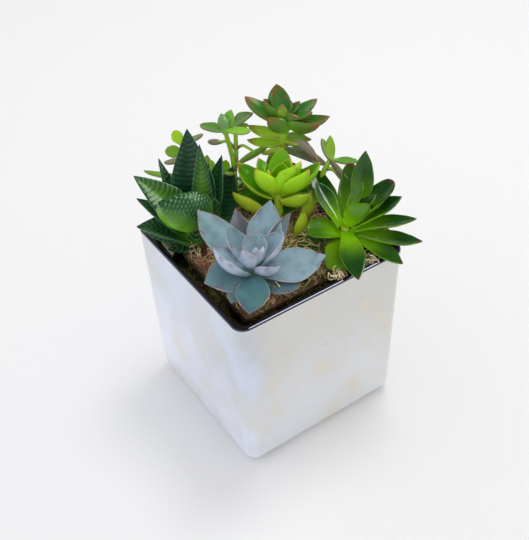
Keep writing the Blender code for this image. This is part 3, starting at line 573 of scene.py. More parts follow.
# ---------------------------------------------------------------- shader nodes
def feed(tree, socket, value):
    """Link a socket into an input, or set the input's value."""
    if isinstance(value, bpy.types.NodeSocket):
        tree.links.new(value, socket)
    elif socket.type == "RGBA" and len(value) == 3:
        socket.default_value = (*value, 1.0)
    else:
        socket.default_value = value


def node(tree, kind, inputs=None, **settings):
    """Add a node, set its properties, and feed its inputs by name or number."""
    made = tree.nodes.new(kind)
    for key, value in settings.items():
        setattr(made, key, value)
    for key, value in (inputs or {}).items():
        feed(tree, made.inputs[key], value)
    return made


def mix(tree, mask, first, second, mode="MIX"):
    """Blend two colours by a mask."""
    return node(tree, "ShaderNodeMix", {0: mask, 6: first, 7: second}, data_type="RGBA",
                blend_type=mode).outputs[2]


def mix_number(tree, mask, first, second):
    """Blend two numbers by a mask."""
    return node(tree, "ShaderNodeMix", {0: mask, 2: first, 3: second}, data_type="FLOAT").outputs[0]


def calc(tree, operation, first, second=0.0, clamp=False):
    """One step of arithmetic."""
    return node(tree, "ShaderNodeMath", {0: first, 1: second}, operation=operation,
                use_clamp=clamp).outputs[0]


def times(tree, first, second, clamp=False):
    """One number times another."""
    return calc(tree, "MULTIPLY", first, second, clamp)


def plus(tree, first, second):
    """One number plus another."""
    return calc(tree, "ADD", first, second)


def minus(tree, first, second):
    """One number less another."""
    return calc(tree, "SUBTRACT", first, second)


def shade(tree, tone, by):
    """A colour darkened or brightened by another."""
    return mix(tree, 1.0, tone, by, "MULTIPLY")


def ease(tree, value, start, end, low=0.0, high=1.0):
    """Go smoothly from low to high as the value goes from start to end."""
    return node(tree, "ShaderNodeMapRange",
                {"Value": value, "From Min": start, "From Max": end, "To Min": low, "To Max": high},
                interpolation_type="SMOOTHSTEP").outputs[0]


def grain(tree, scale, detail=4.0, vector=None):
    """Fractal noise over the object's own coordinates, or over a given vector."""
    if vector is None:
        vector = node(tree, "ShaderNodeTexCoord").outputs["Object"]
    return node(tree, "ShaderNodeTexNoise", {"Vector": vector, "Scale": scale, "Detail": detail}).outputs[0]


def mark(tree, name):
    """A number that each point of the mesh carries."""
    return node(tree, "ShaderNodeAttribute", attribute_name=name).outputs["Fac"]


def new_group(name, inputs, outputs):
    """A shader node group with named sockets; inputs give (name, kind, default)."""
    tree = bpy.data.node_groups.new(name, "ShaderNodeTree")
    kinds = {"colour": "NodeSocketColor", "number": "NodeSocketFloat"}
    for label, kind, default in inputs:
        socket = tree.interface.new_socket(label, in_out="INPUT", socket_type=kinds[kind])
        socket.default_value = (*default, 1.0) if kind == "colour" else default
    for label, kind in outputs:
        tree.interface.new_socket(label, in_out="OUTPUT", socket_type=kinds[kind])
    return tree, node(tree, "NodeGroupInput").outputs, node(tree, "NodeGroupOutput")


def leaf_tone_group():
    """How a leaf's colour changes from foot to tip, middle to margin, and upper face to lower."""
    name = "leaf_tone"
    if name in bpy.data.node_groups:
        return bpy.data.node_groups[name]
    grey = (0.5, 0.5, 0.5)
    tones = ("Flesh", "Young", "Foot", "Underside", "Margin", "Tip", "Ridge", "Sunny", "Dull", "Spot",
             "Cloud", "Young Ridge")
    inputs = [(label, "colour", grey) for label in tones]
    shares = {"Foot Reach": 0.4, "Margin Start": 0.8, "Margin Share": 1.0, "Tip Start": 0.85,
              "Tip Share": 1.0, "Underside Share": 0.7, "Mottle Scale": 160.0, "Mottle Depth": 0.3,
              "Spot Share": 0.0, "Cloud Share": 0.0, "Wash Share": 0.0}
    inputs += [(label, "number", default) for label, default in shares.items()]
    tree, given, result = new_group(name, inputs, [("Colour", "colour"), ("Mottle", "number"),
                                                   ("Height", "number")])

    def lay(tone, mask, label, amount=None):
        """Lay one of the colours over the tone, as far as a mask and its share go."""
        return mix(tree, times(tree, mask, given[(amount or label) + " Share"]), tone, given[label])

    along = mark(tree, "along")
    edge = calc(tree, "ABSOLUTE", mark(tree, "across"))
    tint = mark(tree, "tint")
    tone = mix(tree, mark(tree, "age"), given["Young"], given["Flesh"])
    tone = lay(tone, minus(tree, 1.0, mark(tree, "upper")), "Underside")
    tone = mix(tree, ease(tree, along, given["Foot Reach"], 0.0), tone, given["Foot"])
    # Painted light: a positive tint lays the sunny colour, a lit copy of the leaf's green.
    tone = mix(tree, times(tree, tint, 1.0, clamp=True), tone, given["Sunny"])
    # A negative tint lays the dull colour: the old leaves' own colour, and painted shade on the lime rosette.
    tone = mix(tree, times(tree, tint, -1.0, clamp=True), tone, given["Dull"])
    broad = ease(tree, grain(tree, 75.0, 3.0), 0.42, 0.62)
    broad = times(tree, broad, ease(tree, plus(tree, edge, along), 0.4, 1.6, 0.35, 1.0))
    broad = times(tree, broad, ease(tree, mark(tree, "age"), 0.1, 0.5))
    tone = lay(tone, broad, "Cloud")
    mottle = grain(tree, given["Mottle Scale"], 5.0)
    dark = shade(tree, tone, (0.55, 0.62, 0.58))
    tone = mix(tree, times(tree, ease(tree, mottle, 0.45, 0.68), given["Mottle Depth"]), tone, dark)
    wander = times(tree, minus(tree, mottle, 0.5), 0.5)
    reach = times(tree, plus(tree, edge, along), 0.6)
    wash = ease(tree, plus(tree, reach, times(tree, wander, 2.0)), 0.75, 1.25)
    tone = lay(tone, wash, "Dull", "Wash")
    rim = ease(tree, plus(tree, edge, times(tree, wander, 0.5)), given["Margin Start"], 1.0)
    tone = lay(tone, rim, "Margin")
    end = ease(tree, plus(tree, along, times(tree, wander, 0.3)), given["Tip Start"], 1.0)
    tone = lay(tone, end, "Tip")
    place = node(tree, "ShaderNodeTexCoord").outputs["Object"]
    dots = node(tree, "ShaderNodeTexVoronoi", {"Vector": place, "Scale": 480.0}, feature="F1")
    size = times(tree, ease(tree, plus(tree, along, wander), 0.55, 1.0), ease(tree, edge, 0.3, 0.9))
    spot = ease(tree, minus(tree, times(tree, size, 0.4), dots.outputs["Distance"]), 0.0, 0.1)
    tone = lay(tone, spot, "Spot")
    band = mix(tree, mark(tree, "age"), given["Young Ridge"], given["Ridge"])
    tone = mix(tree, mark(tree, "relief"), tone, band)
    feed(tree, result.inputs["Colour"], tone)
    feed(tree, result.inputs["Mottle"], mottle)
    feed(tree, result.inputs["Height"], grain(tree, 1400.0, 3.0))
    return tree


def start_material(name):
    """A new material and its node tree."""
    material = bpy.data.materials.new(name)
    material.use_nodes = True
    return material, material.node_tree


def finish_material(material, sockets, bump=None):
    """Feed the shader; a bump gives a height, a strength, and a depth in millimetres."""
    tree = material.node_tree
    shader = tree.nodes["Principled BSDF"]
    for name, value in sockets.items():
        feed(tree, shader.inputs[name], value)
    if bump:
        height, strength, depth = bump
        relief = node(tree, "ShaderNodeBump",
                      {"Height": height, "Strength": strength, "Distance": depth * MM}).outputs[0]
        feed(tree, shader.inputs["Normal"], relief)
    return material


def leaf_material(name, look, roughness=0.4, coat=0.0, fleshy=0.1, bump=0.15, specular=0.25, **shares):
    """The skin of one kind of succulent."""
    material, tree = start_material(name)
    skin = node(tree, "ShaderNodeGroup", node_tree=leaf_tone_group())
    for socket in skin.inputs:
        key = socket.name.lower().replace(" ", "_")
        if key in shares:
            feed(tree, socket, shares[key])
        elif hasattr(look, key):
            feed(tree, socket, tuple(getattr(look, key)))
    uneven = ease(tree, skin.outputs["Mottle"], 0.3, 0.7, roughness - 0.06, roughness + 0.08)
    return finish_material(material, {
        "Base Color": skin.outputs["Colour"], "Roughness": uneven, "Specular IOR Level": specular,
        "Subsurface Weight": fleshy, "Subsurface Radius": (0.6, 1.0, 0.15), "Subsurface Scale": 2.0 * MM,
        "Coat Weight": coat, "Coat Roughness": 0.12}, (skin.outputs["Height"], bump, 0.15))


def stem_material(look):
    """Bare stem: green above, barky and scarred below."""
    material, tree = start_material("stem_skin")
    blotch = grain(tree, 260.0, 6.0)
    green = mix(tree, ease(tree, blotch, 0.42, 0.62), look.stem, look.foot)
    tone = mix(tree, ease(tree, plus(tree, mark(tree, "along"), blotch), 1.05, 0.6), green, look.bark)
    return finish_material(material, {
        "Base Color": tone, "Roughness": ease(tree, blotch, 0.3, 0.7, 0.42, 0.62),
        "Subsurface Weight": 0.08, "Subsurface Scale": 1.5 * MM}, (blotch, 0.4, 0.3))


def glaze_material(look):
    """Silvered glaze with warm smudges and pin specks, and painted shade on the walls; a dark mirror on the
    rim and lip, its dark colour painted reflection and shade.
    """
    material, tree = start_material("silver_glaze")
    place = node(tree, "ShaderNodeTexCoord").outputs["Object"]
    tall = node(tree, "ShaderNodeMapping", {"Vector": place, "Scale": (1.0, 1.0, 0.85)}).outputs[0]
    broad = grain(tree, 40.0, 3.0, tall)
    cloud = grain(tree, 85.0, 7.0, tall)
    tone = mix(tree, ease(tree, broad, 0.35, 0.65), look.silver, look.warm)
    axes = node(tree, "ShaderNodeSeparateXYZ", {0: place})
    # Painted shade: the walls grow dimmer towards the rim, cool on the left wall and creamy on the others.
    high = ease(tree, axes.outputs[2], *RIM_SHADE_HEIGHTS)
    smudge = times(tree, ease(tree, broad, 0.48, 0.66), ease(tree, cloud, 0.42, 0.7))
    # Painted shade: the walls other than the left one are made warmer and darker than the left wall's cool
    # silver.
    turned = ease(tree, axes.outputs[0], *LEFT_WALL)
    smudge = times(tree, smudge, ease(tree, turned, 0.0, 1.0, 0.25, 1.0))
    tone = mix(tree, times(tree, turned, 0.7), tone, look.warm)
    haze = mix(tree, turned, look.haze, look.cream)
    tone = shade(tree, tone, mix(tree, high, (1.0, 1.0, 1.0), haze))
    tone = mix(tree, smudge, tone, look.blotch)
    tone = mix(tree, ease(tree, grain(tree, 9.0, 1.0, place), 0.55, 0.8, 0.0, 0.35), tone, look.blotch)
    dots = node(tree, "ShaderNodeTexVoronoi", {"Vector": place, "Scale": 150.0}, feature="F1")
    few = ease(tree, node(tree, "ShaderNodeSeparateColor", {0: dots.outputs["Color"]}).outputs[0],
               0.75, 1.0, 0.0, 0.08)
    tone = mix(tree, ease(tree, minus(tree, few, dots.outputs["Distance"]), 0.0, 0.015), tone, look.speck)
    tone = mix(tree, mark(tree, "age"), tone, look.clay)
    # Painted reflection and shade: the rim and lip take a dark colour in place of the silver, for the dark
    # room and plants mirrored there and the shade above the moss.
    inside = mix(tree, mark(tree, "upper"), look.rim, look.lip)
    tone = mix(tree, mark(tree, "relief"), tone, inside)
    shine = mix_number(tree, mark(tree, "relief"), 0.12, 1.0)
    return finish_material(material, {
        "Base Color": tone, "Roughness": mix_number(tree, mark(tree, "relief"), 0.3, 0.06),
        "Metallic": mix_number(tree, mark(tree, "age"), shine, 0.0),
        "Coat Weight": 0.8, "Coat Roughness": 0.03})


def moss_material(look, name, main):
    """Dry strands, each of one tone, in patches of a main colour, straw, rust and green."""
    material, tree = start_material(name)
    strand = mark(tree, "age")
    patch = grain(tree, 48.0, 3.0)
    tone = mix(tree, ease(tree, plus(tree, strand, patch), 1.0, 1.25), main, look.straw)
    tone = mix(tree, ease(tree, minus(tree, strand, patch), 0.25, 0.4), tone, look.rust)
    tone = mix(tree, ease(tree, minus(tree, patch, strand), 0.22, 0.4), tone, look.green)
    dark = shade(tree, tone, (0.6, 0.55, 0.5))
    tone = mix(tree, ease(tree, grain(tree, 900.0, 2.0), 0.4, 0.7), tone, dark)
    return finish_material(material, {"Base Color": tone, "Roughness": 0.7})


def mat_material(look):
    """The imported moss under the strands: fibres of straw, rust and green, dark between them."""
    material, tree = start_material("moss_mat")
    place = node(tree, "ShaderNodeTexCoord").outputs["Object"]
    bend = node(tree, "ShaderNodeTexNoise", {"Vector": place, "Scale": 110.0, "Detail": 2.0}).outputs["Color"]
    bent = node(tree, "ShaderNodeMix", {0: 0.02, 4: place, 5: bend}, data_type="VECTOR").outputs[1]
    fibre = node(tree, "ShaderNodeTexVoronoi", {"Vector": bent, "Scale": 900.0}, feature="DISTANCE_TO_EDGE")
    strand = ease(tree, fibre.outputs["Distance"], 0.0, 0.14, 1.0, 0.0)
    patch = grain(tree, 60.0, 4.0)
    tone = mix(tree, ease(tree, patch, 0.4, 0.6), look.rust, look.straw)
    tone = mix(tree, ease(tree, grain(tree, 35.0, 2.0), 0.55, 0.7), tone, look.green)
    tone = mix(tree, strand, look.soil, shade(tree, tone, (0.62, 0.55, 0.45)))
    return finish_material(material, {"Base Color": tone, "Roughness": 0.9}, (strand, 0.7, 0.5))


def dry_material(look):
    """Shrivelled leaves, wine-red to brown, veined with darker creases."""
    material, tree = start_material("dry_leaf")
    tone = mix(tree, mark(tree, "age"), look.dry, look.amber)
    crease = ease(tree, grain(tree, 420.0, 5.0), 0.4, 0.65)
    tone = mix(tree, crease, tone, shade(tree, tone, (0.35, 0.3, 0.3)))
    return finish_material(material, {"Base Color": tone, "Roughness": 0.5}, (crease, 0.6, 0.3))


def soil_material(look):
    """Dark crumbly potting soil."""
    material, tree = start_material("potting_soil")
    crumbs = grain(tree, 420.0, 8.0)
    pale = shade(tree, look.soil, (2.4, 2.3, 2.2))
    tone = mix(tree, ease(tree, crumbs, 0.45, 0.75), look.soil, pale)
    return finish_material(material, {"Base Color": tone, "Roughness": 0.95}, (crumbs, 0.8, 1.0))


# ---------------------------------------------------------------- meshes
class Form:
    """Shapes gathered before they become one mesh."""

    def __init__(self):
        self.points, self.faces, self.slots = [], [], []
        self.marks = {name: [] for name in MARKS}

    def add(self, points, faces, slot=0, **marks):
        """Add a shape, with a number or an array for each of its marks."""
        start = len(self.points)
        self.points += [tuple(point) for point in points]
        self.faces += [tuple(start + index for index in face) for face in faces]
        self.slots += [slot] * len(faces)
        for name in MARKS:
            values = np.broadcast_to(np.asarray(marks.get(name, 0.0), float), (len(points),))
            self.marks[name] += values.tolist()

    def take(self, skin, slot=0):
        """Add a skin: points, faces and marks."""
        points, faces, marks = skin
        self.add(points, faces, slot, **marks)


def add_object(name, data):
    """Put a mesh, a lamp or a camera into the scene."""
    item = bpy.data.objects.new(name, data)
    bpy.context.scene.collection.objects.link(item)
    return item


def make_piece(name, form, materials, nodes=()):
    """Turn a form into a smooth mesh object that rides on the part."""
    mesh = bpy.data.meshes.new(name)
    mesh.from_pydata(form.points, [], form.faces)
    for material in materials:
        mesh.materials.append(material)
    mesh.polygons.foreach_set("material_index", form.slots)
    for key, values in form.marks.items():
        mesh.attributes.new(key, "FLOAT", "POINT").data.foreach_set("value", values)
    mesh.shade_smooth()
    mesh.update()
    settle(add_object(name, mesh), nodes)


def settle(piece, nodes=()):
    """Let a finished piece ride on the part, in place of the CAD nodes given."""
    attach(piece, "root")
    if nodes:
        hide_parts(*nodes)


def ring_faces(rows, columns):
    """Faces of a skin of closed rings, with an end point before the first ring and after the last."""
    faces = []
    last = 1 + (rows - 1) * columns
    for column in range(columns):
        after = (column + 1) % columns
        faces.append((0, 1 + after, 1 + column))
        for near in range(1, last, columns):
            far = near + columns
            faces.append((near + column, near + after, far + after, far + column))
        faces.append((last + column, last + after, last + columns))
    return faces


def smooth_curve(stations, values, at):
    """Values between stations, on a curve that never overshoots them."""
    x, y = np.array(stations, float), np.array(values, float)
    step = np.diff(x)
    slope = np.diff(y) / step
    both = slope[:-1] * slope[1:]
    total = np.where(both > 0, slope[:-1] + slope[1:], 1.0)
    tangent = np.concatenate([[slope[0]], np.where(both > 0, 2 * both / total, 0.0), [slope[-1]]])
    here = np.clip(np.searchsorted(x, at, side="right") - 1, 0, len(step) - 1)
    w = np.clip((at - x[here]) / step[here], 0.0, 1.0)
    rise = step[here] * (w * (1 - w) ** 2 * tangent[here] - w * w * (1 - w) * tangent[here + 1])
    return y[here] * (1 + 2 * w) * (1 - w) ** 2 + y[here + 1] * w * w * (3 - 2 * w) + rise


# ---------------------------------------------------------------- leaves
def cad_place(name):
    """Read where a CAD leaf stands: its foot, its tip, its upper side, its width and its bow."""
    corners = {tuple(round(value, 5) for value in vertex.co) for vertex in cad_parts[name].data.vertices}
    points = np.array(sorted(corners))
    fits = []
    for tip in points:
        farthest = np.argsort(np.linalg.norm(points - tip, axis=1))[-6:]
        foot = points[farthest].mean(axis=0)
        axis = tip - foot
        station = (points - foot) @ axis / (axis @ axis)
        gaps = np.abs(station[:, None] - CAD_STATIONS)
        fits.append((gaps.min(axis=1).sum(), tuple(tip), gaps.argmin(axis=1)))
    error, tip, ring_of = min(fits, key=lambda fit: fit[0])
    if error > 1.0:
        raise RuntimeError("no tip found on " + name)
    rings = [points[ring_of == number] for number in range(len(CAD_STATIONS) - 1)]
    foot = Vector(rings[0].mean(axis=0))
    tip = Vector(tip)
    spans = []
    for ring, station in zip(rings, CAD_STATIONS):
        if len(ring) != 6:
            continue
        apart = np.linalg.norm(ring[:, None] - ring[None], axis=2)
        first, second = np.unravel_index(apart.argmax(), apart.shape)
        rest = np.delete(ring, (first, second), axis=0)
        edges = 0.5 * (ring[first] + ring[second])
        spans.append((apart.max(), station, Vector(edges), Vector(rest.mean(axis=0))))
    width, station, edges, middle = max(spans, key=lambda span: span[0])
    along = (tip - foot).normalized()
    up = edges - middle
    up = (up - up.dot(along) * along).normalized()
    bow = -(middle - foot).dot(up) / (4 * (tip - foot).length * station * (1 - station))
    return Place(foot, tip, up, width, bow)


def aim(turn, rise):
    """The direction at a turn round +Z and a rise above level, in degrees."""
    turn, rise = math.radians(turn), math.radians(rise)
    return Vector((math.cos(turn) * math.cos(rise), math.sin(turn) * math.cos(rise), math.sin(rise)))


def row_place(foot, turn, rise, reach, width, bow=0.02):
    """The place of a leaf given by its foot, turn, rise and size, in millimetres and degrees."""
    along = aim(turn, rise)
    turn, rise = math.radians(turn), math.radians(rise)
    up = Vector((-math.cos(turn) * math.sin(rise), -math.sin(turn) * math.sin(rise), math.cos(rise)))
    foot = Vector(foot) * MM
    return Place(foot, foot + along * reach * MM, up, width * MM, bow)


def stem_place(collar, row, reach):
    """The place of a listed leaf, its foot at its side of the stem's middle."""
    side = math.radians(row.turn if row.side is None else row.side)
    skew = abs(math.sin(math.radians(row.turn) - side))
    out = reach + 0.12 * row.width * skew + 0.8 * abs(math.sin(math.radians(row.rise)))
    foot = (collar[0] + out * math.cos(side), collar[1] + out * math.sin(side), collar[2] + row.level)
    return row_place(foot, row.turn, row.rise, row.length, row.width, row.bow)


def cross_bands(along, across, half, look, beads):
    """Raised bands across a haworthia's leaf, bowed towards the tip and broken into columns or beads."""
    if beads:
        row = along / (0.65 * look.ridge_pitch) - 0.8 * across ** 2
        step = across * half / (0.7 * look.ridge_pitch) + 0.5 * np.round(row)
        return (0.5 + 0.5 * np.cos(2 * math.pi * row)) ** 1.5 * (0.5 + 0.5 * np.cos(2 * math.pi * step))
    phase = along / look.ridge_pitch - 1.1 * across ** 2 + 0.05 * np.sin(9.0 * across)
    band = (0.5 + 0.5 * np.cos(2 * math.pi * phase)) ** 6
    columns = 0.5 + 0.5 * np.cos(2 * math.pi * (1.45 * across + 0.1 * np.sin(3.0 * phase)))
    return band * (0.35 + 0.65 * columns ** 0.6)


def turn_face(place, face):
    """The same place with its upper face turned towards a turn and rise, in degrees."""
    wanted = aim(*face)
    along = (place.tip - place.foot).normalized()
    return place._replace(up=(wanted - wanted.dot(along) * along).normalized())


def seat_leaf(place, looks):
    """The same place, moved, turned, widened and bowed as a leaf's looks say."""
    moved = {end: Vector(looks[end]) * MM for end in ("foot", "tip") if end in looks}
    place = place._replace(**moved)
    if moved or "face" in looks:
        place = turn_face(place, looks.get("face", USUAL_FACE))
    width = looks["width"] * MM if "width" in looks else place.width
    return place._replace(width=width, bow=looks.get("bow", place.bow))


def leaf_section(kind, width, thickness, t, s, upper):
    """Half widths along a leaf, and how far its skin stands off its middle sheet, down as a minus."""
    half = 0.5 * width * smooth_curve(kind.stations, kind.profile, t)
    body = thickness * smooth_curve(kind.stations, kind.fullness, t)
    body = np.minimum(body, 1.5 * half + 0.1 * MM)
    t, half, body = t[:, None], half[:, None], body[:, None]
    above, below = np.maximum(upper, 0.0), np.maximum(-upper, 0.0)
    thick = UPPER_SHARE * body * above - LOWER_SHARE * body * below
    thick = thick - kind.keel * half * np.exp(-(s / KEEL_SPREAD) ** 2) * below * np.clip(t * 2, 0, 1)
    return half, thick - kind.groove * half * np.exp(-(s / GROOVE_SPREAD) ** 2) * above


def fold_leaf(kind, cup, half, thick, t, s, roll):
    """Cup a flat leaf and wave its edges: how far its skin stands to the side and up."""
    fold = 2 * math.atan(max(cup, LEAST_CUP))
    phi = s * fold * np.clip(1.25 - 0.5 * t, 0, 1)
    bend = half / math.sin(fold)
    x = bend * np.sin(phi) - thick * np.sin(phi)
    z = bend * (1 - np.cos(phi)) + thick * np.cos(phi)
    return x, z + kind.wave * half * np.abs(s) ** 3 * np.sin(5 * t + roll + 2 * s)


def leaf_marks(looks, t, s, upper, relief):
    """What a leaf's material reads at its foot, at each point of its rings and at its tip."""
    def ends(values, first, last):
        return np.concatenate([[first], np.broadcast_to(values, relief.shape).reshape(-1), [last]])

    # Painted light: the tint, and a strip along the leaf's middle that fades towards the tip, lay the sunny
    # colour.
    tint = looks.get("tint", 0.0)
    painted_light_strip = np.clip(1.2 - 1.3 * np.abs(s + looks.get("lean", 0.0)), 0, 1) * np.clip(1.9 - 1.9 * t, 0, 1)
    return {"along": ends(t, 0.0, 1.0), "across": ends(s, 0.0, 0.0), "relief": ends(relief, 0.0, 0.0),
            "upper": ends(0.5 + 0.5 * np.clip(4 * upper, -1, 1), 0.5, 0.5),
            "tint": ends(tint + looks.get("painted_light", 0.0) * painted_light_strip, tint, tint),
            "age": looks.get("age", 0.8)}


def leaf_skin(name, place, kind, thickness, looks, stations=30, around=20, bands=None):
    """Points, faces and marks of one leaf."""
    if looks.get("beads"):
        stations, around = BEAD_GRID
    chance = random.Random(name)
    spin = math.radians(chance.uniform(-5, 5))
    sway = chance.uniform(-0.02, 0.02)
    roll = chance.uniform(0, 2 * math.pi)
    kind = looks.get("kind", kind)
    place = seat_leaf(place, looks)
    axis = place.tip - place.foot
    reach = axis.length
    along, up = np.array(axis.normalized()), np.array(place.up)
    side = np.cross(up, along)
    t = 1 - (1 - np.linspace(0, 1, stations, endpoint=False)) ** 1.3
    angle = 2 * math.pi * np.arange(around) / around
    s, upper = np.cos(angle)[None, :], np.sin(angle)[None, :]
    half, thick = leaf_section(kind, place.width, thickness, t, s, upper)
    t = t[:, None]
    relief = np.zeros_like(thick)
    if bands:
        relief = cross_bands(t * reach, s, half, bands, looks.get("beads"))
        relief = relief * np.clip(12 * (1 - t), 0, 1) * looks.get("banding", 0.8)
        thick = thick + np.sign(upper) * relief * bands.ridge_height
        half = half + 0.5 * bands.ridge_height * relief * np.abs(s) ** 6
    x, z = fold_leaf(kind, looks.get("cup", kind.cup), half, thick, t, s, roll)
    turn = spin * t
    x, z = x * np.cos(turn) - z * np.sin(turn), x * np.sin(turn) + z * np.cos(turn)
    x = x + sway * reach * np.sin(math.pi * t)
    z = z - 4 * place.bow * reach * t * (1 - t)
    curl = looks.get("curl", kind.curl)
    z = z + curl * reach * (np.clip((t - 0.72) / 0.28, 0, 1) ** 2)
    start = -kind.root * MM
    forward = start + t * (reach - start)
    grid = (np.array(place.foot) + forward[..., None] * along + x[..., None] * side + z[..., None] * up)
    for row in range(stations):
        for column in range(around):
            point = Vector(grid[row, column])
            grid[row, column] += up * noise.noise(point * 130.0) * 0.08 * float(half[row, 0])
    tip = np.array(place.tip) + curl * reach * up
    points = np.concatenate([[grid[0].mean(axis=0)], grid.reshape(-1, 3), [tip]])
    return points, ring_faces(stations, around), leaf_marks(looks, t, s, upper, relief)


def tube_skin(path, around=12, knobs=0.06, rows_per_run=8):
    """Points, faces and marks of a round stem through points that carry their radius, in millimetres."""
    knots = np.array(path, float) * MM
    count = rows_per_run * (len(knots) - 1) + 1
    at = np.linspace(0, len(knots) - 1, count)
    line = np.stack([smooth_curve(range(len(knots)), knots[:, axis], at) for axis in range(4)], axis=1)
    ahead = np.gradient(line[:, :3], axis=0)
    ahead /= np.linalg.norm(ahead, axis=1)[:, None]
    first = np.cross(ahead, (0.0, 1.0, 0.0))
    first /= np.linalg.norm(first, axis=1)[:, None]
    second = np.cross(ahead, first)
    rings = []
    for row in range(count):
        swell = 1 + knobs * math.sin(row * 2.4)
        ring = []
        for column in range(around):
            angle = 2 * math.pi * column / around
            radius = line[row, 3] * (swell + 0.5 * knobs * math.sin(3 * angle + row))
            outward = math.cos(angle) * first[row] + math.sin(angle) * second[row]
            ring.append(line[row, :3] + radius * outward)
        rings.append(ring)
    grid = np.array(rings)
    points = np.concatenate([[line[0, :3]], grid.reshape(-1, 3), [line[-1, :3]]])
    along = np.concatenate([[0.0], np.repeat(np.linspace(0, 1, count), around), [1.0]])
    return points, ring_faces(count, around), {"along": along}


def bud_skin(centre, radius, rows=8, around=14):
    """Points and faces of a bud: a ball drawn up to a point."""
    rings = []
    for row in range(rows):
        angle = math.pi * (row + 0.5) / rows
        rings.append([(radius * math.sin(angle) * math.cos(2 * math.pi * k / around),
                       radius * math.sin(angle) * math.sin(2 * math.pi * k / around),
                       -radius * math.cos(angle) * (1.0 if angle < math.pi / 2 else 1.5))
                      for k in range(around)])
    grid = np.array(rings) + np.array(centre)
    ends = (np.array(centre) - (0, 0, radius), np.array(centre) + (0, 0, 1.6 * radius))
    points = np.concatenate([[ends[0]], grid.reshape(-1, 3), [ends[1]]])
    return points, ring_faces(rows, around)


def build_rosette(plant, settings, grid=(), banded=False, **finish):
    """One rosette: a piece for each CAD leaf, one for the stem and one for the heart."""
    look = getattr(bpy.context.scene, settings)
    bands = look if banded else None
    skin = leaf_material(settings.split("_")[1] + "_skin", look, **finish)
    stem_skin = stem_material(bpy.context.scene.succulent_sprigs)
    prefix = plant.node + "_"
    for name in sorted(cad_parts):
        if not (name.startswith(prefix) and name.endswith("_leaf")):
            continue
        form = Form()
        looks = plant.looks.get(name[len(prefix):-len("_leaf")], {})
        form.take(leaf_skin(name, cad_place(name), plant.kind, look.thickness, looks, *grid, bands=bands))
        make_piece(name + "_skin", form, [skin], [name])
    stem_node = prefix + ("core" if plant.node == "haworthia" else "stem")
    form = Form()
    form.take(tube_skin(plant.stem))
    for number, row in enumerate(plant.clasping):
        place = stem_place(plant.collar, row, CLASP_REACH)
        form.take(leaf_skin(stem_node + str(number), place, plant.kind, look.thickness, row.looks, *grid,
                            bands=bands), slot=1)
    make_piece(stem_node + "_skin", form, [stem_skin, skin], [stem_node])
    if not plant.young:
        return
    form = Form()
    x, y, z = plant.collar
    points, faces = bud_skin((x * MM, y * MM, (z + BUD_LIFT + plant.bud) * MM), plant.bud * 0.75 * MM)
    form.add(points, faces, along=0.1, upper=1.0)
    for number, row in enumerate(plant.young):
        place = stem_place(plant.collar, row, HEART_REACH)
        form.take(leaf_skin(prefix + "heart" + str(number), place, plant.kind,
                            HEART_THINNESS * look.thickness, row.looks, *grid))
    make_piece(prefix + "heart_skin", form, [skin], [prefix + "heart"])


# ---------------------------------------------------------------- planter
def rounded_square(half, radius, height):
    """Points round a square with round corners, with steps along its sides too, anticlockwise."""
    straight = half - radius
    quarter = []
    for step in range(CORNER_STEPS):
        angle = math.radians(90 * step / CORNER_STEPS)
        quarter.append((straight + radius * math.cos(angle), straight + radius * math.sin(angle), 0))
    for step in range(SIDE_STEPS):
        quarter.append((straight - 2 * straight * step / SIDE_STEPS, half, 0))
    outline = []
    for number in range(4):
        turn = Euler((0, 0, math.radians(90 * number)))
        for place in quarter:
            point = Vector(place)
            point.rotate(turn)
            outline.append((point.x, point.y, height))
    return outline


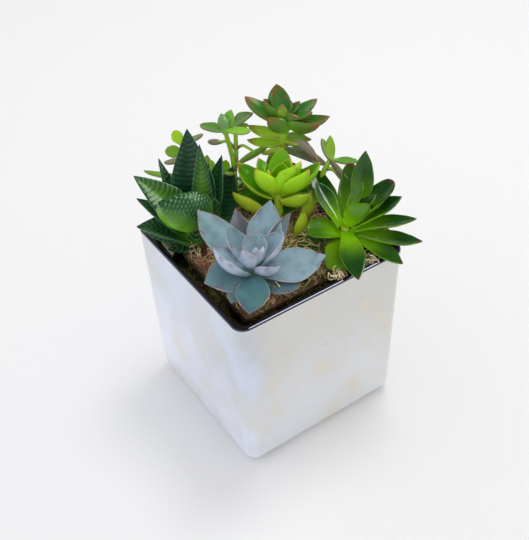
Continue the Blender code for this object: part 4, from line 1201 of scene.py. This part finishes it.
def planter_form(wobble):
    """The planter's skin from the middle of its underside, up outside, over the rim and down inside."""
    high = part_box("pot")[1]
    rim_half, roll_height = high.x, high.z - RIM_ROLL
    rows = []                               # half width, corner radius, height, dark (the rim and lip, painted dark reflection and shade), lip, bare

    def row(half, corner, height, dark=0.0, lip=0.0, bare=0.0):
        rows.append((half, max(corner, 1.5 * MM), height, dark, lip, bare))

    row(0.5 * POT_FOOT_HALF, POT_CORNER, 0.0, bare=1.0)
    for step in range(9):
        angle = math.radians(90 * step / 8)
        inset = POT_FOOT_ROUND * (1 - math.sin(angle))
        row(POT_FOOT_HALF - inset, POT_CORNER - 0.6 * inset, POT_FOOT_ROUND * (1 - math.cos(angle)),
            bare=1.0 if step == 0 else 0.0)
    for step in range(1, 14):
        part = step / 14
        row(POT_FOOT_HALF + (rim_half - POT_FOOT_HALF) * part, POT_CORNER,
            POT_FOOT_ROUND + (roll_height - 0.6 * MM - POT_FOOT_ROUND) * part)
    row(rim_half, POT_CORNER, roll_height - 0.5 * MM)
    for step in range(13):
        angle = math.radians(180 * step / 12)
        half = rim_half - RIM_ROLL + RIM_ROLL * math.cos(angle)
        row(half, POT_CORNER - (rim_half - half), roll_height + RIM_ROLL * math.sin(angle), 1.0)
    lip_start = rim_half - 2 * RIM_ROLL
    for step in range(1, 10):
        angle = math.radians(90 * step / 9)
        half = lip_start - (lip_start - LIP_HALF) * (1 - math.cos(angle))
        row(half, POT_CORNER - 0.4 * (rim_half - half), roll_height - LIP_DROP * math.sin(angle), 1.0,
            min(1.0, 0.4 * step))
    lip_bottom = roll_height - LIP_DROP - LIP_EDGE
    row(LIP_HALF, 3 * MM, lip_bottom, 1.0, 1.0)
    row(INNER_HALF, 5 * MM, lip_bottom - LIP_DROP, 1.0, 1.0)
    row(INNER_FOOT_HALF, 5 * MM, INNER_FOOT, 1.0, 1.0)
    row(FLOOR_HALF, 3 * MM, POT_FLOOR, 1.0, 1.0)
    grid = np.array([rounded_square(*values[:3]) for values in rows])
    columns = grid.shape[1]
    for index, values in enumerate(rows):
        if POT_FOOT_ROUND < values[2] < roll_height - 1 * MM and not values[3]:
            for column in range(columns):
                point = Vector(grid[index, column])
                outward = Vector((point.x, point.y, 0)).normalized()
                grid[index, column] += np.array(outward) * noise.noise(point * 35.0) * wobble
    points = np.concatenate([[(0, 0, 0)], grid.reshape(-1, 3), [(0, 0, POT_FLOOR)]])
    marks = {}
    for name, place in (("relief", 3), ("upper", 4), ("age", 5)):
        values = np.repeat([values[place] for values in rows], columns)
        marks[name] = np.concatenate([values[:1], values, values[-1:]])
    form = Form()
    form.add(points, ring_faces(len(rows), columns), **marks)
    return form


# ---------------------------------------------------------------- moss
def moss_height(x, y):
    """Height of the moss mat: crowned, lumpy, and rounded over at its edge."""
    low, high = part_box("moss")
    half = high.x
    edge = max(abs(x), abs(y)) / half
    crown = low.z + MOSS_EDGE_HEIGHT + (high.z - low.z - MOSS_EDGE_HEIGHT) * max(0.0, 1 - edge ** 2)
    coarse = noise.noise(Vector((x, y, 0.0)) * COARSE_DETAIL)
    fine = noise.noise(Vector((x, y, 1.0)) * FINE_DETAIL)
    lumps = COARSE_LUMPS * coarse + FINE_LUMPS * fine
    drop = MOSS_EDGE_DROP * max(0.0, (edge - 0.93) / 0.07) ** 2
    return crown + lumps - drop


def moss_mat_form(reach=1.0, cells=64):
    """The mat under the strands, closed beneath; a reach under 1 leaves out its outer edge."""
    low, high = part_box("moss")
    half = high.x * reach
    rings = []
    for row in range(cells // 2):
        out = half * (row + 1) / (cells // 2)
        corner = min(MOSS_CORNER, 0.5 * out)
        rings.append([(x, y, moss_height(x, y)) for x, y, _ in rounded_square(out, corner, 0.0)])
    rings.append([(x, y, low.z) for x, y, _ in rings[-1]])
    grid = np.array(rings)[::-1]
    points = np.concatenate([[(0, 0, low.z)], grid.reshape(-1, 3), [(0, 0, moss_height(0, 0))]])
    form = Form()
    form.add(points, ring_faces(*grid.shape[:2]), age=0.5)
    return form


def vector_math(tree, operation, inputs, output=0):
    """One step of arithmetic with vectors."""
    return node(tree, "ShaderNodeVectorMath", inputs, operation=operation).outputs[output]


def area_of(tree, surface):
    """The area of a surface, in a geometry node tree."""
    face = node(tree, "GeometryNodeInputMeshFaceArea").outputs[0]
    return node(tree, "GeometryNodeAttributeStatistic", {"Geometry": surface, 2: face},
                domain="FACE").outputs["Sum"]


def random_value(tree, low, high, seed):
    """A random number for each point, between two numbers."""
    return node(tree, "FunctionNodeRandomValue", {2: low, 3: high, "Seed": seed},
                data_type="FLOAT").outputs[1]


def strand_tree():
    """Geometry nodes that grow curled strands over a surface."""
    name = "moss_strands"
    if name in bpy.data.node_groups:
        return bpy.data.node_groups[name]
    tree = bpy.data.node_groups.new(name, "GeometryNodeTree")
    sockets = (("Surface", "NodeSocketGeometry"), ("Count", "NodeSocketInt"), ("Seed", "NodeSocketInt"),
               ("Length", "NodeSocketFloat"), ("Radius", "NodeSocketFloat"), ("Tangle", "NodeSocketFloat"),
               ("Lift", "NodeSocketFloat"), ("Tilt", "NodeSocketFloat"), ("Material", "NodeSocketMaterial"))
    for label, kind in sockets:
        tree.interface.new_socket(label, in_out="INPUT", socket_type=kind)
    tree.interface.new_socket("Strands", in_out="OUTPUT", socket_type="NodeSocketGeometry")
    given = node(tree, "NodeGroupInput").outputs
    density = calc(tree, "DIVIDE", given["Count"], area_of(tree, given["Surface"]))
    spread = node(tree, "GeometryNodeDistributePointsOnFaces",
                  {"Mesh": given["Surface"], "Density": density, "Seed": given["Seed"]})
    loop = node(tree, "GeometryNodeCurveSpiral",
                {"Resolution": 16, "Rotations": 0.75,
                 "Start Radius": times(tree, given["Length"], 0.10),
                 "End Radius": times(tree, given["Length"], 0.34),
                 "Height": times(tree, given["Length"], 0.12)})
    fine = node(tree, "GeometryNodeResampleCurve", {"Curve": loop.outputs[0], "Count": 12})
    lean = node(tree, "ShaderNodeCombineXYZ", {"X": given["Tilt"], "Y": given["Tilt"], "Z": 6.283}).outputs[0]
    back = vector_math(tree, "MULTIPLY", {0: lean, 1: (-1.0, -1.0, 0.0)})
    turn = node(tree, "FunctionNodeRandomValue", {"Min": back, "Max": lean, "Seed": 11},
                data_type="FLOAT_VECTOR")
    placed = node(tree, "GeometryNodeInstanceOnPoints",
                  {"Points": spread.outputs["Points"], "Instance": fine.outputs[0],
                   "Rotation": turn.outputs["Value"], "Scale": random_value(tree, 0.4, 1.15, 12)})
    told = node(tree, "GeometryNodeStoreNamedAttribute",
                {"Geometry": placed.outputs[0], "Name": "age", "Value": random_value(tree, 0.0, 1.0, 13)},
                data_type="FLOAT", domain="INSTANCE")
    loose = node(tree, "GeometryNodeRealizeInstances", {"Geometry": told.outputs[0]})
    own = node(tree, "GeometryNodeInputNamedAttribute", {"Name": "age"}, data_type="FLOAT").outputs[0]
    wave = node(tree, "ShaderNodeTexNoise",
                {"Vector": node(tree, "GeometryNodeInputPosition").outputs[0],
                 "W": times(tree, own, 40.0), "Scale": 170.0, "Detail": 1.0},
                noise_dimensions="4D")
    centred = vector_math(tree, "SUBTRACT", {0: wave.outputs["Color"], 1: (0.5, 0.5, 0.45)})
    shift = vector_math(tree, "SCALE", {0: centred, "Scale": given["Tangle"]})
    rise = node(tree, "ShaderNodeCombineXYZ", {"Z": given["Lift"]}).outputs[0]
    wavy = node(tree, "GeometryNodeSetPosition",
                {"Geometry": loose.outputs[0], "Offset": vector_math(tree, "ADD", {0: shift, 1: rise})})
    rim = node(tree, "GeometryNodeCurvePrimitiveCircle", {"Resolution": 3, "Radius": given["Radius"]},
               mode="RADIUS")
    thread = node(tree, "GeometryNodeCurveToMesh",
                  {"Curve": wavy.outputs[0], "Profile Curve": rim.outputs[0], "Fill Caps": True})
    solid = node(tree, "GeometryNodeRealizeInstances", {"Geometry": thread.outputs[0]})
    painted = node(tree, "GeometryNodeSetMaterial",
                   {"Geometry": solid.outputs[0], "Material": given["Material"]})
    node(tree, "NodeGroupOutput", {"Strands": painted.outputs[0]})
    return tree


def grow_strands(name, emitter, slot, **inputs):
    """Grow strands over an emitter mesh, and keep them as a plain mesh."""
    tree = strand_tree()
    source = add_object(name + "_source", emitter)
    modifier = source.modifiers.new("strands", "NODES")
    modifier.node_group = tree
    identifiers = {item.name: item.identifier for item in tree.interface.items_tree}
    for label, value in inputs.items():
        modifier[identifiers[label.title()]] = value
    bpy.context.view_layer.update()
    mesh = bpy.data.meshes.new_from_object(source.evaluated_get(bpy.context.evaluated_depsgraph_get()))
    bpy.data.objects.remove(source, do_unlink=True)
    mesh.name = name
    mesh.shade_smooth()
    settle(add_object(name, mesh))


def make_bed(form):
    """A mesh of a form, for strands to grow from."""
    mesh = bpy.data.meshes.new("bed")
    mesh.from_pydata(form.points, [], form.faces)
    mesh.update()
    return mesh


def patch_mesh(name, centre, radius):
    """A small round patch that strands grow from."""
    form = bmesh.new()
    bmesh.ops.create_circle(form, cap_ends=True, radius=radius, segments=12)
    bmesh.ops.translate(form, verts=form.verts, vec=centre)
    return close_form(name, form)


def close_form(name, form):
    """Turn a bmesh into a mesh."""
    mesh = bpy.data.meshes.new(name)
    form.to_mesh(mesh)
    form.free()
    return mesh


# ---------------------------------------------------------------- operators
class SUCCULENT_OT_planter(bpy.types.Operator):
    """Build the glazed planter"""
    bl_idname = "succulent.planter"
    bl_label = "Planter"

    def execute(self, context):
        look = context.scene.succulent_planter
        skin = glaze_material(look)
        make_piece("planter_skin", planter_form(look.wobble), [skin], ["pot"])
        return {"FINISHED"}


class SUCCULENT_OT_moss(bpy.types.Operator):
    """Build the soil's finish, the moss mat, its strands and the dry leaves on it"""
    bl_idname = "succulent.moss"
    bl_label = "Moss and soil"

    def execute(self, context):
        look = context.scene.succulent_moss
        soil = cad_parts["soil"].data
        soil.materials.clear()
        soil.materials.append(soil_material(look))
        make_piece("moss_mat", moss_mat_form(), [mat_material(look)], ["moss"])
        bed = make_bed(moss_mat_form(MOSS_REACH))
        layers = (("moss_tangle", look.straw), ("moss_tangle_under", look.rust))
        for number, (name, pale) in enumerate(layers):
            grow_strands(name, bed, "moss", count=look.strands, seed=look.seed + number,
                         length=look.strand_length, radius=look.strand_radius, tangle=5.0 * MM,
                         lift=(0.9 - 0.9 * number) * MM, tilt=1.1, material=moss_material(look, name, pale))
        for number, (centre, size) in enumerate(TUFTS):
            bed = patch_mesh("tuft_bed", Vector(centre) * MM, size * MM)
            grow_strands("moss_tuft_" + str(number + 1), bed, "moss", count=30, seed=look.seed,
                         length=9.0 * MM, radius=look.strand_radius, tangle=4.0 * MM, lift=0.0,
                         tilt=1.5, material=moss_material(look, "moss_tuft", look.tuft))
        form = Form()
        for number, (kind, foot, turn, rise, reach, width, face) in enumerate(DRY_LEAVES):
            form.take(leaf_skin("dry" + str(number), row_place(foot, turn, rise, reach, width), kind,
                                DRY_THICKNESS, {"cup": 0.5, "face": face, "age": number % 2}))
        make_piece("dry_leaves", form, [dry_material(look)])
        return {"FINISHED"}


class SUCCULENT_OT_echeveria(bpy.types.Operator):
    """Build the blue-grey rosette"""
    bl_idname = "succulent.echeveria"
    bl_label = "Blue-grey rosette"

    def execute(self, context):
        build_rosette(ECHEVERIA, "succulent_echeveria", roughness=0.48, bump=0.25, fleshy=0.08,
                      spot_share=0.9, cloud_share=0.65, wash_share=0.6, foot_reach=0.35,
                      margin_start=0.96, margin_share=0.85, tip_start=0.965, underside_share=0.7,
                      mottle_scale=170.0, mottle_depth=0.55)
        return {"FINISHED"}


class SUCCULENT_OT_haworthia(bpy.types.Operator):
    """Build the dark ridged rosette"""
    bl_idname = "succulent.haworthia"
    bl_label = "Haworthia"

    def execute(self, context):
        build_rosette(HAWORTHIA, "succulent_haworthia", HAWORTHIA_GRID, banded=True, roughness=0.38,
                      bump=0.2, fleshy=0.02, coat=0.2, foot_reach=0.35, margin_start=0.93,
                      margin_share=0.5, tip_start=0.9, underside_share=0.7, mottle_scale=140.0,
                      mottle_depth=0.3)
        return {"FINISHED"}


class SUCCULENT_OT_lime(bpy.types.Operator):
    """Build the lime rosette"""
    bl_idname = "succulent.lime"
    bl_label = "Lime rosette"

    def execute(self, context):
        build_rosette(LIME, "succulent_lime", roughness=0.36, coat=0.1, bump=0.1, fleshy=0.1,
                      specular=0.15, cloud_share=0.5, foot_reach=0.3, margin_start=0.9,
                      margin_share=0.55, tip_start=0.88, tip_share=0.7, underside_share=0.9,
                      mottle_scale=110.0, mottle_depth=0.15)
        return {"FINISHED"}


class SUCCULENT_OT_glossy(bpy.types.Operator):
    """Build the glossy rosette"""
    bl_idname = "succulent.glossy"
    bl_label = "Glossy rosette"

    def execute(self, context):
        build_rosette(GLOSSY, "succulent_glossy", roughness=0.3, coat=0.4, bump=0.06, fleshy=0.03,
                      cloud_share=0.5, specular=0.2, foot_reach=0.75, margin_start=0.93,
                      margin_share=0.7, tip_start=0.93, tip_share=0.8, underside_share=0.8,
                      mottle_scale=90.0, mottle_depth=0.3)
        return {"FINISHED"}


class SUCCULENT_OT_crown(bpy.types.Operator):
    """Build the tall rosette at the back"""
    bl_idname = "succulent.crown"
    bl_label = "Crown rosette"

    def execute(self, context):
        build_rosette(CROWN, "succulent_crown", roughness=0.34, coat=0.15, bump=0.1, fleshy=0.06,
                      cloud_share=0.35, specular=0.2, foot_reach=0.55, margin_start=0.93,
                      margin_share=0.6, tip_start=0.68, tip_share=0.7, underside_share=0.9,
                      mottle_scale=110.0, mottle_depth=0.3)
        return {"FINISHED"}


class SUCCULENT_OT_sprigs(bpy.types.Operator):
    """Build the three sprigs"""
    bl_idname = "succulent.sprigs"
    bl_label = "Sprigs"

    def execute(self, context):
        look = context.scene.succulent_sprigs
        skin = leaf_material("sprig_skin", look, roughness=0.36, coat=0.1, bump=0.1, fleshy=0.08,
                             cloud_share=0.3, specular=0.2,
                             foot_reach=0.4, margin_start=0.9, margin_share=0.5, tip_start=0.9,
                             tip_share=0.6, underside_share=0.7, mottle_scale=110.0, mottle_depth=0.2)
        bare = stem_material(look)
        for name, stems in SPRIG_STEMS.items():
            form = Form()
            for path in stems:
                form.take(tube_skin(path))
            for number, row in enumerate(SPRIG_LEAVES[name]):
                looks = {"age": (number % 3) / 2, **row.looks}
                form.take(leaf_skin(name + str(number), row_place(*row[:5]), PADDLE, look.thickness, looks,
                                    *SPRIG_GRID), slot=1)
            make_piece(name + "_skin", form, [bare, skin], [name])
        return {"FINISHED"}


class SUCCULENT_OT_stage(bpy.types.Operator):
    """Lay the floor and set the lights and the camera"""
    bl_idname = "succulent.stage"
    bl_label = "Stage"

    def execute(self, context):
        look = context.scene.succulent_stage
        scene = context.scene
        scene.view_settings.view_transform = "Standard"
        lay_floor(look)
        light_room(scene, look)
        place_camera(scene, look)
        return {"FINISHED"}


def lay_floor(look):
    """A wide pale floor under the planter."""
    form = bmesh.new()
    bmesh.ops.create_grid(form, x_segments=2, y_segments=2, size=FLOOR_SPREAD)
    floor = add_object("floor", close_form("floor", form))
    material, _ = start_material("floor_paper")
    floor.data.materials.append(finish_material(
        material, {"Base Color": tuple(look.floor), "Roughness": 0.8, "Specular IOR Level": 0.1}))


def light_room(scene, look):
    """A pale room lit from all round; gloss shows a dim ceiling with one softbox in it."""
    world = bpy.data.worlds.new("room")
    scene.world = world
    world.use_nodes = True
    tree = world.node_tree
    back = tree.nodes["Background"]
    direction = node(tree, "ShaderNodeTexCoord").outputs["Generated"]
    height = node(tree, "ShaderNodeSeparateXYZ", {0: direction}).outputs["Z"]
    soft = ease(tree, height, 0.1, 0.8, look.horizon, look.zenith)
    gloss = ease(tree, height, 0.25, 0.62, look.horizon, look.dim)
    softbox = tuple(aim(look.box_turn, look.box_rise))
    near = vector_math(tree, "DOT_PRODUCT", {0: direction, 1: softbox}, "Value")
    gloss = plus(tree, gloss, ease(tree, near, 0.94, 0.972, 0.0, look.box_power))
    rays = node(tree, "ShaderNodeLightPath").outputs
    room = mix_number(tree, rays["Is Glossy Ray"], soft, gloss)
    feed(tree, back.inputs["Strength"], mix_number(tree, rays["Is Camera Ray"], room, look.horizon))
    side = vector_math(tree, "DOT_PRODUCT", {0: direction, 1: tuple(aim(160, 0))}, "Value")
    tint = mix(tree, ease(tree, side, -0.5, 0.7), (0.98, 0.97, 0.95), (1.20, 1.21, 1.29))
    feed(tree, back.inputs["Color"], mix(tree, rays["Is Camera Ray"], tint, (1.0, 0.995, 1.0)))
    lamp = bpy.data.lights.new("key", "AREA")
    lamp.energy = look.key_power
    lamp.shape = "SQUARE"
    lamp.size = KEY_SIZE
    item = add_object("key", lamp)
    item.location = KEY_PLACE
    item.visible_glossy = False
    item.rotation_euler = (KEY_TARGET - item.location).to_track_quat("-Z", "Y").to_euler()


def place_camera(scene, look):
    """The camera, looking down over the planter's near corner."""
    lens = bpy.data.cameras.new("camera")
    lens.lens = look.lens
    lens.sensor_width = 36.0
    camera = add_object("camera", lens)
    camera.location = CAMERA_PLACE
    camera.rotation_euler = Euler([math.radians(angle) for angle in CAMERA_TURN])
    scene.camera = camera


OPERATORS = (
    SUCCULENT_OT_stage, SUCCULENT_OT_planter, SUCCULENT_OT_moss, SUCCULENT_OT_echeveria,
    SUCCULENT_OT_haworthia, SUCCULENT_OT_lime, SUCCULENT_OT_glossy, SUCCULENT_OT_crown,
    SUCCULENT_OT_sprigs,
)


class SUCCULENT_PT_panel(bpy.types.Panel):
    """Buttons that build each piece"""
    bl_idname = "SUCCULENT_PT_panel"
    bl_label = "Succulent arrangement"
    bl_space_type = "VIEW_3D"
    bl_region_type = "UI"
    bl_category = "Succulents"

    def draw(self, context):
        for operator in OPERATORS:
            self.layout.operator(operator.bl_idname)


def register():
    """Register the settings, the operators and the panel."""
    for name, group in SETTINGS.items():
        bpy.utils.register_class(group)
        setattr(bpy.types.Scene, name, PointerProperty(type=group))
    for item in (*OPERATORS, SUCCULENT_PT_panel):
        bpy.utils.register_class(item)


def unregister():
    """Take back what register added."""
    for item in (SUCCULENT_PT_panel, *reversed(OPERATORS)):
        bpy.utils.unregister_class(item)
    for name, group in SETTINGS.items():
        delattr(bpy.types.Scene, name)
        bpy.utils.unregister_class(group)


def main():
    """Build the whole arrangement."""
    register()
    for operator in OPERATORS:
        group, name = operator.bl_idname.split(".")
        getattr(getattr(bpy.ops, group), name)()
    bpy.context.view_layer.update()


if __name__ == "__main__":
    main()
